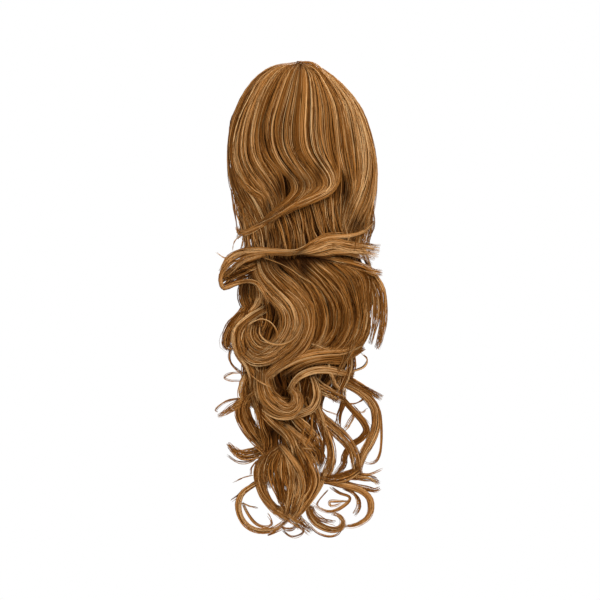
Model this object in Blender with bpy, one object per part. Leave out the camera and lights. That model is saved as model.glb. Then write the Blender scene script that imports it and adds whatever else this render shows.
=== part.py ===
"""Clip-on ponytail hairpiece: two layers of wavy hair wefts on a plain claw clip.

Metres, +Z up. The viewer sees the outer side of the hair from -Y, and the wearer's
head is on the +Y side. The origin is in the mouth of the clip, where it grips the bun.
"""

import math
from collections import namedtuple

import bmesh
import bpy
import numpy as np
from mathutils import Vector

# Hair: overall size
HANG = 0.480  # from the crown to the tips of the lowest curls, hanging
HALF_WIDTH = 0.075  # half the width of the crown
DEPTH = 0.060  # how far the crown stands out in front of the wearer's head
CROWN_RISE = 0.064  # from the middle of the clip up to the crown

# Clip: one plain C-shaped claw, 85 mm long
CLIP_LENGTH = 0.085
CLIP_HALF_WIDTH = 0.021
CLIP_HALF_DEPTH = 0.018
CLIP_WALL = 0.0026
MOUTH_GAP = 0.014  # between the tips of facing teeth
TEETH = 6  # on each jaw
TOOTH_WIDTH = 0.0085
TOOTH_REACH = 0.55  # share of the jaw's arc that is cut into teeth
SLOT_ROOT = 0.70  # a slot's width at the teeth's roots, as a share of the space between teeth
SLOT_TIP = 1.50  # and in front of their tips
SPINE_RADIUS = 0.0038
SPINE_LENGTH = 0.070
SPINE_CENTRE = 2 * CLIP_HALF_DEPTH + CLIP_WALL / 4  # out from the wearer's head
GROOVE_FRONT = 0.7  # width of the hair's groove for the spine at its floor, as a share of its mouth

# Clearances between separate pieces
LAYER_GAP = 0.0004
CLIP_GAP = 0.0004

# Resolution of the faceted solids
RING_SIDES = 20
LOCK_SIDES = 6
LOCK_STATIONS = 11
CURVE_STEPS = 12
JAW_FACETS = 14
SPINE_SIDES = 12

HAIR_COLOUR = (0.38, 0.19, 0.062, 1.0)
UNDER_HAIR_COLOUR = (0.30, 0.145, 0.045, 1.0)
CLIP_COLOUR = (0.085, 0.040, 0.018, 1.0)
HAIR_ROUGHNESS = 0.45
CLIP_ROUGHNESS = 0.30

# A horizontal section of a hair layer. down is a share of HANG. centre and half_width
# are shares of HALF_WIDTH. middle, towards the viewer, and half_depth are shares of DEPTH.
Section = namedtuple("Section", "down centre half_width middle half_depth")

# The crown layer: a dome that falls over the clip and ends in the first wave.
CROWN_SECTIONS = (
    Section(0.000, 0.00, 0.14, 0.50, 0.12),
    Section(0.012, -0.07, 0.40, 0.50, 0.26),
    Section(0.032, -0.10, 0.52, 0.50, 0.35),
    Section(0.060, -0.09, 0.70, 0.50, 0.41),
    Section(0.100, -0.07, 0.85, 0.51, 0.45),
    Section(0.150, -0.04, 0.95, 0.52, 0.47),
    Section(0.200, -0.01, 0.98, 0.52, 0.48),
    Section(0.250, 0.00, 0.99, 0.50, 0.48),
    Section(0.300, 0.01, 0.94, 0.46, 0.47),
    Section(0.340, 0.02, 0.88, 0.42, 0.46),
    Section(0.375, 0.03, 0.80, 0.36, 0.42),
)

# The long layer: it starts round the clip, under the crown layer, and thins towards the ends.
LONG_SECTIONS = (
    Section(0.018, -0.02, 0.26, 0.36, 0.14),
    Section(0.040, -0.07, 0.46, 0.38, 0.30),
    Section(0.100, -0.07, 0.68, 0.37, 0.38),
    Section(0.200, -0.01, 0.84, 0.36, 0.42),
    Section(0.300, 0.01, 0.82, 0.32, 0.46),
    Section(0.360, 0.02, 0.80, 0.29, 0.46),
    Section(0.420, 0.05, 0.78, 0.26, 0.46),
    Section(0.500, 0.12, 0.82, 0.24, 0.46),
    Section(0.560, 0.05, 0.82, 0.22, 0.44),
    Section(0.620, -0.05, 0.74, 0.20, 0.40),
    Section(0.680, -0.12, 0.62, 0.18, 0.36),
    Section(0.740, -0.18, 0.44, 0.16, 0.31),
    Section(0.800, -0.17, 0.40, 0.14, 0.27),
    Section(0.860, -0.13, 0.38, 0.12, 0.23),
    Section(0.910, -0.14, 0.26, 0.10, 0.17),
    Section(0.950, -0.12, 0.12, 0.08, 0.09),
)

# A lock of hair. width and thick are half sizes, as shares of HALF_WIDTH. Each point of the
# path is (across, down, lift): across as a share of HALF_WIDTH, down as a share of HANG, and
# lift from -1, on the back surface of the layer, through 0, its middle, to 1, on its front.
# A lock that reaches past the layer's side keeps the depth that the layer has at EDGE.
Lock = namedtuple("Lock", "name width thick path")
EDGE = 0.97  # share of the layer's half width

# How a lock thins towards its ends: its size there, as a share of its full size, and the
# share of its length over which it gets to its full size.
ROOT_SIZE = 0.55
ROOT_GROWTH = 0.15
TIP_SIZE = 0.30
TIP_GROWTH = 0.32

CROWN_LOCKS = (
    Lock("left_edge", 0.13, 0.07, ((-0.45, 0.030, 0.9), (-0.76, 0.090, 0.9), (-0.87, 0.165, 0.9),
                                   (-0.86, 0.240, 0.9), (-0.74, 0.295, 1.0), (-0.55, 0.345, 1.1))),
    Lock("left_wave", 0.13, 0.06, ((-0.33, 0.050, 1.0), (-0.57, 0.115, 1.0), (-0.64, 0.175, 1.0),
                                   (-0.47, 0.227, 1.05), (-0.23, 0.270, 1.05), (-0.17, 0.300, 1.1),
                                   (-0.33, 0.330, 1.1))),
    Lock("left_middle", 0.12, 0.06, ((-0.17, 0.045, 1.0), (-0.32, 0.125, 1.0), (-0.31, 0.185, 1.0),
                                     (-0.07, 0.230, 1.05), (0.11, 0.268, 1.0), (0.04, 0.300, 1.1),
                                     (-0.20, 0.325, 1.15), (-0.47, 0.348, 1.15))),
    Lock("middle", 0.12, 0.06, ((-0.05, 0.040, 1.0), (-0.09, 0.125, 1.0), (-0.01, 0.185, 1.0),
                                (0.21, 0.230, 1.05), (0.32, 0.263, 1.0), (0.20, 0.292, 1.1),
                                (-0.08, 0.318, 1.15))),
    Lock("right_middle", 0.12, 0.06, ((0.07, 0.045, 1.0), (0.08, 0.125, 1.0), (0.16, 0.180, 1.0),
                                      (0.35, 0.220, 1.05), (0.51, 0.252, 1.0), (0.43, 0.283, 1.1),
                                      (0.19, 0.308, 1.15))),
    Lock("right_wave", 0.12, 0.06, ((0.25, 0.050, 1.0), (0.31, 0.125, 1.0), (0.37, 0.180, 1.0),
                                    (0.52, 0.220, 1.05), (0.63, 0.252, 1.0), (0.59, 0.290, 1.1),
                                    (0.49, 0.325, 1.1))),
    Lock("right_side", 0.12, 0.06, ((0.42, 0.062, 0.95), (0.66, 0.130, 0.95), (0.74, 0.185, 1.0),
                                    (0.70, 0.238, 1.05), (0.60, 0.285, 1.1), (0.52, 0.330, 1.1),
                                    (0.44, 0.372, 1.15))),
    Lock("right_edge", 0.13, 0.07, ((0.50, 0.070, 0.9), (0.76, 0.145, 0.9), (0.85, 0.215, 0.9),
                                    (0.84, 0.270, 0.9), (0.76, 0.320, 1.0), (0.58, 0.365, 1.15),
                                    (0.25, 0.388, 1.2))),
    Lock("left_flip", 0.075, 0.05, ((0.40, 0.375, 1.15), (0.10, 0.395, 1.22), (-0.25, 0.395, 1.2),
                                    (-0.55, 0.393, 1.15), (-0.84, 0.406, 0.9), (-1.02, 0.435, 0.8),
                                    (-1.05, 0.462, 0.8))),
    Lock("right_flip", 0.10, 0.06, ((-0.02, 0.400, 1.2), (0.20, 0.384, 1.25), (0.49, 0.380, 1.25),
                                    (0.76, 0.388, 1.1), (0.98, 0.396, 0.9))),
)

LONG_LOCKS = (
    Lock("left_s", 0.11, 0.07, ((-0.52, 0.400, 1.0), (-0.47, 0.430, 1.0), (-0.41, 0.462, 1.0),
                                (-0.25, 0.494, 1.1), (-0.04, 0.525, 1.1), (0.01, 0.560, 1.1),
                                (-0.09, 0.596, 1.1), (-0.31, 0.625, 1.05), (-0.52, 0.648, 1.0))),
    Lock("wave_inner", 0.11, 0.07, ((-0.22, 0.425, 1.0), (-0.08, 0.458, 1.05), (0.17, 0.494, 1.1),
                                    (0.32, 0.535, 1.1), (0.31, 0.580, 1.1), (0.15, 0.617, 1.1),
                                    (-0.09, 0.645, 1.1), (-0.31, 0.675, 1.0))),
    Lock("wave_middle", 0.11, 0.07, ((0.00, 0.425, 1.0), (0.18, 0.452, 1.05), (0.45, 0.483, 1.1),
                                     (0.58, 0.525, 1.1), (0.58, 0.570, 1.1), (0.46, 0.606, 1.1),
                                     (0.23, 0.632, 1.05))),
    Lock("wave_outer", 0.10, 0.07, ((0.26, 0.425, 1.0), (0.48, 0.445, 1.0), (0.70, 0.475, 1.0),
                                    (0.81, 0.519, 1.0), (0.79, 0.560, 1.0), (0.66, 0.596, 1.0),
                                    (0.41, 0.620, 1.0))),
    Lock("right_hoop", 0.055, 0.05, ((0.56, 0.432, 0.7), (0.82, 0.452, 0.6), (0.98, 0.483, 0.5),
                                     (1.02, 0.525, 0.4), (0.98, 0.570, 0.3), (0.88, 0.606, 0.3))),
    Lock("low_right_flip", 0.06, 0.05, ((0.40, 0.425, 1.0), (0.65, 0.436, 0.9), (0.86, 0.448, 0.8),
                                        (1.00, 0.444, 0.7))),
    Lock("left_hook", 0.08, 0.06, ((-0.68, 0.445, 0.6), (-0.56, 0.474, 0.9), (-0.49, 0.502, 1.0),
                                   (-0.57, 0.529, 1.0), (-0.73, 0.546, 0.9), (-0.89, 0.562, 0.7),
                                   (-0.99, 0.585, 0.6))),
    Lock("left_bowl", 0.09, 0.06, ((-0.60, 0.530, 0.9), (-0.74, 0.567, 0.9), (-0.72, 0.606, 0.9),
                                   (-0.55, 0.632, 1.1), (-0.30, 0.628, 1.2), (-0.04, 0.604, 1.2))),
    Lock("sweep", 0.09, 0.06, ((0.56, 0.602, 0.9), (0.25, 0.606, 1.2), (-0.07, 0.627, 1.25),
                               (-0.36, 0.660, 1.2), (-0.55, 0.698, 1.0), (-0.60, 0.738, 0.8))),
    Lock("arc", 0.075, 0.06, ((0.52, 0.646, 0.8), (0.29, 0.638, 1.15), (0.03, 0.652, 1.25),
                              (-0.15, 0.682, 1.2), (-0.09, 0.715, 1.2), (0.08, 0.735, 0.9))),
    Lock("right_dart", 0.055, 0.05, ((0.29, 0.631, 1.0), (0.53, 0.656, 0.9), (0.79, 0.681, 0.9),
                                     (1.02, 0.699, 0.9))),
    Lock("left_dart", 0.055, 0.05, ((-0.50, 0.685, 0.9), (-0.70, 0.707, 0.7), (-0.90, 0.726, 0.7),
                                    (-1.08, 0.739, 0.7))),
    Lock("left_fall", 0.09, 0.06, ((-0.55, 0.675, 0.7), (-0.76, 0.717, 0.6), (-0.80, 0.756, 0.5),
                                   (-0.68, 0.796, 0.6), (-0.50, 0.826, 0.8), (-0.36, 0.854, 0.9))),
    Lock("small_ring", 0.065, 0.05, ((-0.31, 0.672, 1.0), (-0.06, 0.685, 1.2), (0.05, 0.715, 1.2),
                                     (-0.07, 0.742, 1.2), (-0.31, 0.735, 1.1))),
    Lock("right_bow", 0.07, 0.05, ((0.40, 0.660, 0.5), (0.74, 0.690, 0.3), (0.94, 0.723, 0.2),
                                   (0.96, 0.760, 0.1), (0.88, 0.796, 0.0), (0.73, 0.831, 0.0))),
    Lock("right_fall", 0.07, 0.05, ((0.08, 0.690, 0.9), (0.24, 0.731, 0.9), (0.41, 0.765, 0.8),
                                    (0.62, 0.796, 0.6), (0.73, 0.831, 0.4), (0.70, 0.865, 0.4))),
    Lock("right_curl", 0.05, 0.045, ((0.30, 0.680, 0.0), (0.60, 0.727, -0.4), (0.79, 0.758, -0.6),
                                     (0.76, 0.790, -0.4), (0.60, 0.812, 0.0), (0.49, 0.835, 0.4),
                                     (0.52, 0.862, 0.5))),
    Lock("left_flick", 0.065, 0.05, ((-0.38, 0.812, 0.8), (-0.66, 0.823, 0.7), (-0.85, 0.817, 0.7),
                                     (-0.98, 0.803, 0.7))),
    Lock("left_ring", 0.05, 0.045, ((-0.45, 0.855, 0.6), (-0.73, 0.885, 0.5), (-0.84, 0.920, 0.4),
                                    (-0.78, 0.955, 0.4), (-0.60, 0.979, 0.4), (-0.33, 0.974, 0.4),
                                    (-0.15, 0.950, 0.4))),
    Lock("left_spindle", 0.08, 0.055, ((-0.40, 0.810, 0.9), (-0.55, 0.844, 1.0), (-0.56, 0.885, 1.1),
                                       (-0.45, 0.925, 1.0), (-0.27, 0.950, 0.9), (-0.13, 0.960, 0.8))),
    Lock("right_spindle", 0.065, 0.05, ((0.30, 0.852, 0.8), (0.22, 0.881, 0.9), (0.10, 0.915, 1.0),
                                        (-0.04, 0.942, 1.1), (-0.17, 0.964, 1.1))),
    Lock("middle_fall", 0.09, 0.06, ((-0.26, 0.806, 1.0), (-0.10, 0.838, 1.1), (0.01, 0.873, 1.1),
                                     (0.00, 0.910, 1.0), (-0.12, 0.940, 0.9))),
    Lock("right_ring", 0.055, 0.045, ((0.15, 0.868, 0.6), (0.52, 0.878, 0.6), (0.79, 0.900, 0.5),
                                      (0.88, 0.933, 0.4), (0.78, 0.962, 0.3), (0.56, 0.974, 0.3))),
    Lock("right_flick", 0.065, 0.05, ((0.20, 0.855, 0.3), (0.60, 0.869, 0.2), (0.85, 0.879, 0.1),
                                      (0.98, 0.890, 0.1))),
    Lock("bottom_ring", 0.055, 0.045, ((0.14, 0.880, 0.4), (0.07, 0.920, 0.3), (0.12, 0.958, 0.3),
                                       (0.32, 0.980, 0.3), (0.51, 0.972, 0.4), (0.56, 0.950, 0.5))),
    Lock("tail", 0.055, 0.05, ((-0.09, 0.915, 0.8), (-0.01, 0.955, 0.7), (0.05, 0.988, 0.6))),
)

# Locks down the back, which lies against the wearer: across at the root and at the tip,
# the share of HANG where each starts and stops, and where in the wave it starts, in turns.
BackLock = namedtuple("BackLock", "name root tip start stop phase")
BACK_LOCKS = (
    BackLock("back_left", -0.62, -0.60, 0.300, 0.780, 0.00),
    BackLock("back_left_middle", -0.30, -0.34, 0.280, 0.860, 0.30),
    BackLock("back_middle", 0.02, -0.08, 0.270, 0.930, 0.10),
    BackLock("back_right_middle", 0.34, 0.16, 0.280, 0.840, 0.45),
    BackLock("back_right", 0.62, 0.40, 0.300, 0.750, 0.20),
)
BACK_WAVE = 0.14  # sideways swing, as a share of HALF_WIDTH
BACK_TURNS = 2.5  # waves from root to tip
BACK_POINTS = 12
BACK_WIDTH = 0.14
BACK_THICK = 0.06


def clear_scene():
    for obj in list(bpy.data.objects):
        bpy.data.objects.remove(obj)


def new_collection(name):
    made = bpy.data.collections.new(name)
    bpy.context.scene.collection.children.link(made)
    return made


def material(name, colour, roughness):
    made = bpy.data.materials.new(name)
    made.use_nodes = True
    shader = made.node_tree.nodes["Principled BSDF"]
    shader.inputs["Base Color"].default_value = colour
    shader.inputs["Roughness"].default_value = roughness
    shader.inputs["Metallic"].default_value = 0.0
    return made


def mesh_object(name, points, faces, collection):
    mesh = bpy.data.meshes.new(name)
    mesh.from_pydata([tuple(p) for p in points], [], faces)
    shape = bmesh.new()
    shape.from_mesh(mesh)
    bmesh.ops.recalc_face_normals(shape, faces=shape.faces)
    shape.to_mesh(mesh)
    shape.free()
    made = bpy.data.objects.new(name, mesh)
    collection.objects.link(made)
    return made


def as_guide(obj):
    obj.hide_render = True
    obj.display_type = "WIRE"
    return obj


def height(down):
    """The Z of a share of HANG measured from the crown."""
    return CROWN_RISE - down * HANG


def rings_to_faces(rings, sides):
    """The side faces between rings of equal size, and an end cap on the first and the last."""
    faces = []
    for ring in range(rings - 1):
        for side in range(sides):
            here = ring * sides + side
            beside = ring * sides + (side + 1) % sides
            faces.append((here, beside, beside + sides, here + sides))
    faces.append(tuple(reversed(range(sides))))
    faces.append(tuple(range((rings - 1) * sides, rings * sides)))
    return faces


def layer_body(name, sections, grow, collection):
    """The layer without its locks: a loft through its elliptical sections."""
    points = []
    for index, row in enumerate(sections):
        end = {0: grow, len(sections) - 1: -grow}.get(index, 0.0)
        for side in range(RING_SIDES):
            turn = 2 * math.pi * side / RING_SIDES
            x = row.centre * HALF_WIDTH + (row.half_width * HALF_WIDTH + grow) * math.cos(turn)
            y = -row.middle * DEPTH - (row.half_depth * DEPTH + grow) * math.sin(turn)
            points.append((x, y, height(row.down) + end))
    return mesh_object(name, points, rings_to_faces(len(sections), RING_SIDES), collection)


def smooth_path(path, sections, count):
    """Evenly spaced points on a smooth curve through a lock's own points, in metres."""
    table = np.array(sections)
    share = np.array(path)
    across, down, lift = share.T
    centre, half_width, middle, half_depth = (
        np.interp(down, table[:, 0], table[:, column]) for column in (1, 2, 3, 4)
    )
    edge = np.clip((across - centre) / half_width, -EDGE, EDGE)
    out = middle + lift * half_depth * np.sqrt(1 - edge**2)
    knots = np.column_stack((across * HALF_WIDTH, -out * DEPTH, CROWN_RISE - down * HANG))
    ends = np.vstack((2 * knots[0] - knots[1], knots, 2 * knots[-1] - knots[-2]))
    fine = []
    for k in range(1, len(knots)):
        a, b, c, d = ends[k - 1 : k + 3]
        t = np.linspace(0, 1, CURVE_STEPS, endpoint=False)[:, None]
        fine.append(0.5 * (2 * b + (c - a) * t + (2 * a - 5 * b + 4 * c - d) * t**2
                           + (3 * b - a - 3 * c + d) * t**3))
    fine = np.vstack(fine + [knots[-1:]])
    along = np.concatenate(([0], np.cumsum(np.linalg.norm(np.diff(fine, axis=0), axis=1))))
    stations = np.linspace(0, along[-1], count)
    return np.column_stack([np.interp(stations, along, fine[:, i]) for i in range(3)])


def lock_body(row, sections, grow, collection):
    """One lock: a flattened ring carried along its path, thinner at the root and the tip."""
    path = smooth_path(row.path, sections, LOCK_STATIONS)
    tangents = np.gradient(path, axis=0)
    side_of = Vector((0, -1, 0))
    points = []
    for station, (place, tangent) in enumerate(zip(path, tangents, strict=True)):
        share = station / (LOCK_STATIONS - 1)
        forward = Vector(tangent).normalized()
        normal = (side_of - forward * side_of.dot(forward)).normalized()
        side_of = normal
        wide = forward.cross(normal)
        root = min(1.0, ROOT_SIZE + (1 - ROOT_SIZE) * share / ROOT_GROWTH)
        tip = min(1.0, TIP_SIZE + (1 - TIP_SIZE) * (1 - share) / TIP_GROWTH)
        half_width = row.width * HALF_WIDTH * root * tip + grow
        half_thick = row.thick * HALF_WIDTH * root * tip + grow
        for side in range(LOCK_SIDES):
            turn = 2 * math.pi * (side + 0.5) / LOCK_SIDES
            spot = wide * half_width * math.cos(turn) + normal * half_thick * math.sin(turn)
            points.append(Vector(place) + spot)
    faces = rings_to_faces(LOCK_STATIONS, LOCK_SIDES)
    return mesh_object(row.name, points, faces, collection)


def back_lock(row):
    """A BackLock as a Lock: a swinging path down the back surface."""
    path = []
    for index in range(BACK_POINTS):
        share = index / (BACK_POINTS - 1)
        swing = BACK_WAVE * math.sin(2 * math.pi * (row.phase + BACK_TURNS * share))
        across = row.root + (row.tip - row.root) * share + swing
        path.append((across, row.start + (row.stop - row.start) * share, -1.0))
    return Lock(row.name, BACK_WIDTH, BACK_THICK, tuple(path))


def boolean(obj, operation, other):
    step = obj.modifiers.new(operation.title(), "BOOLEAN")
    step.operation = operation
    step.solver = "EXACT"
    if isinstance(other, bpy.types.Collection):
        step.operand_type = "COLLECTION"
        step.collection = other
    else:
        step.object = other


def hair_layer(name, sections, locks, grow, home):
    """A layer's body with all its locks fused to it."""
    strands = bpy.data.collections.new(name + "_locks")
    bpy.context.scene.collection.children.link(strands)
    for row in locks:
        as_guide(lock_body(row, sections, grow, strands))
    body = layer_body(name, sections, grow, home)
    boolean(body, "UNION", strands)
    return body


def jaw_arc(half_width, half_depth, angle):
    """A point of the clip's oval, with angle 0 at the spine and half a turn at the mouth."""
    x = half_width * math.sin(angle)
    y = -CLIP_HALF_DEPTH - half_depth * math.cos(angle)
    return x, y


def clip_shell(collection):
    """The two jaws and the spine side as one C-shaped wall."""
    mouth = math.pi - math.asin(MOUTH_GAP / 2 / CLIP_HALF_WIDTH)
    steps = 2 * JAW_FACETS
    points = []
    for index in range(steps + 1):
        angle = -mouth + 2 * mouth * index / steps
        inner = jaw_arc(CLIP_HALF_WIDTH - CLIP_WALL / 2, CLIP_HALF_DEPTH - CLIP_WALL / 2, angle)
        outer = jaw_arc(CLIP_HALF_WIDTH + CLIP_WALL / 2, CLIP_HALF_DEPTH + CLIP_WALL / 2, angle)
        for x, y in (inner, outer):
            points.append((x, y, -CLIP_LENGTH / 2))
            points.append((x, y, CLIP_LENGTH / 2))
    faces = []
    for index in range(steps):
        a = 4 * index
        b = a + 4
        faces.append((a, b, b + 1, a + 1))
        faces.append((a + 2, a + 3, b + 3, b + 2))
        faces.append((a, a + 2, b + 2, b))
        faces.append((a + 1, b + 1, b + 3, a + 3))
    last = 4 * steps
    faces.append((0, 1, 3, 2))
    faces.append((last, last + 2, last + 3, last + 1))
    return mesh_object("claw_clip", points, faces, collection)


def tooth_slots(cutters):
    """Wedges that part the teeth, wider towards the tips, through both jaws at once."""
    pitch = (CLIP_LENGTH - TOOTH_WIDTH) / (TEETH - 1)
    slot = pitch - TOOTH_WIDTH
    root_y = jaw_arc(CLIP_HALF_WIDTH, CLIP_HALF_DEPTH, math.pi * (1 - TOOTH_REACH))[1]
    tip_y = CLIP_HALF_DEPTH
    reach_x = 1.5 * CLIP_HALF_WIDTH
    for index in range(TEETH - 1):
        middle = -CLIP_LENGTH / 2 + TOOTH_WIDTH / 2 + pitch * (index + 0.5)
        points = []
        for x in (-reach_x, reach_x):
            points.append((x, root_y, middle - slot * SLOT_ROOT / 2))
            points.append((x, root_y, middle + slot * SLOT_ROOT / 2))
            points.append((x, tip_y, middle + slot * SLOT_TIP / 2))
            points.append((x, tip_y, middle - slot * SLOT_TIP / 2))
        slots = mesh_object(f"slot_{index}", points, rings_to_faces(2, 4), cutters)
        as_guide(slots)


def claw_clip(home, cutters):
    clip = clip_shell(home)
    bpy.ops.mesh.primitive_cylinder_add(
        vertices=SPINE_SIDES, radius=SPINE_RADIUS, depth=SPINE_LENGTH,
        location=(0, -SPINE_CENTRE, 0)
    )
    spine = bpy.context.object
    spine.name = "spine"
    for other in list(spine.users_collection):
        other.objects.unlink(spine)
    bpy.context.scene.collection.objects.link(spine)
    as_guide(spine)
    boolean(clip, "UNION", spine)
    tooth_slots(cutters)
    boolean(clip, "DIFFERENCE", cutters)
    return clip


def clip_room(home):
    """The room that the hair leaves for the clip: its oval with clearance, open at the back."""
    half_width = CLIP_HALF_WIDTH + CLIP_WALL / 2 + CLIP_GAP
    half_depth = CLIP_HALF_DEPTH + CLIP_WALL / 2 + CLIP_GAP
    top = CLIP_LENGTH / 2 + CLIP_GAP
    outline = [jaw_arc(half_width, half_depth, math.pi * (i / JAW_FACETS - 0.5))
               for i in range(JAW_FACETS + 1)]
    shoulder = -CLIP_HALF_DEPTH - half_depth
    front = -SPINE_CENTRE - SPINE_RADIUS - CLIP_GAP
    mouth = SPINE_RADIUS + CLIP_GAP
    floor = mouth * GROOVE_FRONT
    middle = len(outline) // 2
    outline[middle : middle + 1] = [(-mouth, shoulder), (-floor, front), (floor, front), (mouth, shoulder)]
    outline = [(-half_width, DEPTH)] + outline + [(half_width, DEPTH)]
    points = [(x, y, z) for z in (-top, top) for x, y in outline]
    return as_guide(mesh_object("clip_room", points, rings_to_faces(2, len(outline)), home))


def main():
    clear_scene()
    hairpiece = new_collection("ponytail_hairpiece")
    guides = new_collection("guides")
    slots = new_collection("tooth_slots")

    long_locks = LONG_LOCKS + tuple(back_lock(row) for row in BACK_LOCKS)
    long_hair = hair_layer("long_hair", LONG_SECTIONS, long_locks, 0.0, hairpiece)
    long_room = as_guide(
        hair_layer("long_hair_room", LONG_SECTIONS, long_locks, LAYER_GAP, guides)
    )
    crown_hair = hair_layer("crown_hair", CROWN_SECTIONS, CROWN_LOCKS, 0.0, hairpiece)
    room = clip_room(guides)
    boolean(crown_hair, "DIFFERENCE", long_room)
    boolean(crown_hair, "DIFFERENCE", room)
    boolean(long_hair, "DIFFERENCE", room)
    clip = claw_clip(hairpiece, slots)

    crown_hair.data.materials.append(material("crown_fibre", HAIR_COLOUR, HAIR_ROUGHNESS))
    long_hair.data.materials.append(material("long_fibre", UNDER_HAIR_COLOUR, HAIR_ROUGHNESS))
    clip.data.materials.append(material("clip_plastic", CLIP_COLOUR, CLIP_ROUGHNESS))


main()
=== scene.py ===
# %% [markdown]
# # A wavy clip-on ponytail, strand by strand
#
# The hairpiece hangs as it is worn, seen from its outer side. About ten thousand strands
# stand for the fibres. Each is a thin closed tube along a curve of its own. Blender's hair
# curves are quicker to comb, but a tube is a plain mesh, which any program can read. The
# strands are laid in sheets and locks: a sheet is spread between guide lines, and a lock is a
# sheet as narrow as a finger.
#
# Positions are in metres, with Z up and -Y out of the hair, towards the camera. Tables are in
# millimetres: across from the middle, and down from the crown.
#
# The camera comes first. It stands four metres back with a long lens, as for a catalogue
# picture, so near and far locks are drawn at almost the same scale.

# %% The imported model, the camera and the tools
import math
from collections import namedtuple

import bpy
import numpy as np
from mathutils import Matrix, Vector


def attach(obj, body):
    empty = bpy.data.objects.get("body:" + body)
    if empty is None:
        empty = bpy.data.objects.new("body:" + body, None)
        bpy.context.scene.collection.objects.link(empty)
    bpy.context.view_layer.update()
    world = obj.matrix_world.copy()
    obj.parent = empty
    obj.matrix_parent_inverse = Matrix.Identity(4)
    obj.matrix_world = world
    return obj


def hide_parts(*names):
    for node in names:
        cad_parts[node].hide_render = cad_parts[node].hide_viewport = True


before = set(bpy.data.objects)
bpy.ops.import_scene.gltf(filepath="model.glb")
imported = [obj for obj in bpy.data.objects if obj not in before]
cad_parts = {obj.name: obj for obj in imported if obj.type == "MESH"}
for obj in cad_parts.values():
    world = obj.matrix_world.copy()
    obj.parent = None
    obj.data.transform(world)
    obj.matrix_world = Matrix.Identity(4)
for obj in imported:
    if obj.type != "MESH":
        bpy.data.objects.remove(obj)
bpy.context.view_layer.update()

MM = 0.001
CROWN_Z = 0.064  # the crown, above the middle of the clip
VIEW_HEIGHT = 0.600  # how much the picture shows, in the plane of the hair's front
VIEW_MIDDLE = (-3.0, 239.0)  # millimetres across and down
FRONT_OUT = 45.0  # millimetres from the clip's plane to the plane of the hair's front
LENS = 250.0
SENSOR = 36.0

rng = np.random.default_rng(11)


def place(across, down, out):
    """Millimetres to metres: x = across, y = -out and z = crown - down."""
    return np.stack([across * MM, -out * MM, CROWN_Z - down * MM], axis=-1)


camera_data = bpy.data.cameras.new("camera")
camera_data.lens = LENS
camera_data.sensor_width = SENSOR
camera = bpy.data.objects.new("camera", camera_data)
bpy.context.scene.collection.objects.link(camera)
distance = VIEW_HEIGHT * LENS / SENSOR
x, y, z = place(*VIEW_MIDDLE, FRONT_OUT)
camera.location = (x, y - distance, z)
camera.rotation_euler = (math.pi / 2, 0, 0)
bpy.context.scene.camera = camera
print(f"camera {distance:.2f} m in front of the hair")

# %% [markdown]
# ## Colours and node graphs
#
# Colours are sRGB hex codes, as a paint program shows them. A renderer mixes light, so one
# function turns them to linear values. Another adds a node, sets it and links it.


# %% Colour and node helpers
def linear(code):
    """Each channel c, from 0 to 1, becomes ((c + 0.055) / 1.055) ** 2.4, or c / 12.92 under 0.04045."""
    c = np.array([int(code[i : i + 2], 16) for i in (1, 3, 5)]) / 255
    lin = np.where(c <= 0.04045, c / 12.92, ((c + 0.055) / 1.055) ** 2.4)
    return (*map(float, lin), 1.0)


def node(tree, kind, inputs=None, **settings):
    """Adds a node. inputs maps a socket to a value, or to another node's output to link."""
    made = tree.nodes.new(kind)
    for key, value in settings.items():
        setattr(made, key, value)
    for socket, value in (inputs or {}).items():
        if isinstance(value, bpy.types.NodeSocket):
            tree.links.new(value, made.inputs[socket])
        else:
            made.inputs[socket].default_value = value
    return made


def shader_of(name):
    """A new material, its node tree and its Principled shader."""
    made = bpy.data.materials.new(name)
    made.use_nodes = True
    return made, made.node_tree, made.node_tree.nodes["Principled BSDF"]


def ramp(tree, factor, stops):
    """A colour ramp over factor, with stops of (position, sRGB code)."""
    made = node(tree, "ShaderNodeValToRGB", {0: factor})
    band = made.color_ramp.elements
    while len(band) < len(stops):
        band.new(0.5)
    for element, (position, code) in zip(band, stops, strict=True):
        element.position = position
        element.color = linear(code)
    return made.outputs[0]


print("the middle grey #808080 is", round(linear("#808080")[0], 3), "in linear light")

# %% [markdown]
# ## Materials
#
# The fibre is modacrylic, spun in several browns that are blended before it is curled on a hot
# rod. Heat and the dull spinning finish give it a soft sheen, with glints of its own colour. A
# hair shader would trace light through each fibre, but the strands here stand for several
# fibres each, so a plain surface with two painted values looks closer. The two values are on
# each strand's points: `tone` picks the brown and also carries painted highlights and painted
# shade, and `depth` is painted shade on what lies under others and in hollows.


# %% Fibre
FIBRE_ROUGHNESS = 0.40  # drawn and heat-set, so the sheen is soft and nothing is mirrored
FIBRE_IOR = 1.52  # acrylic fibre
FIBRE_GLOSS = 0.28  # a matting agent in the fibre halves its mirror-like part
GLINT = "#F0C080"
GOLDEN = ((0.0, "#552B08"), (0.3, "#84501B"), (0.6, "#B57C3F"), (1.0, "#EEC48C"))
# the brown that painted shade mixes the fibre towards
SHADE_BROWN = "#351604"


def fibre(name, stops, deep):
    """colour = ramp(tone), mixed by depth towards the brown of painted shade."""
    made, tree, shader = shader_of(name)
    tone = node(tree, "ShaderNodeAttribute", attribute_name="tone").outputs["Fac"]
    depth = node(tree, "ShaderNodeAttribute", attribute_name="depth").outputs["Fac"]
    browns = ramp(tree, tone, stops)
    colour = node(tree, "ShaderNodeMix", {0: depth, 6: browns, 7: linear(deep)}, data_type="RGBA")
    tree.links.new(colour.outputs[2], shader.inputs["Base Color"])
    shader.inputs["Roughness"].default_value = FIBRE_ROUGHNESS
    shader.inputs["IOR"].default_value = FIBRE_IOR
    shader.inputs["Specular IOR Level"].default_value = FIBRE_GLOSS
    shader.inputs["Specular Tint"].default_value = linear(GLINT)
    return made


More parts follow.
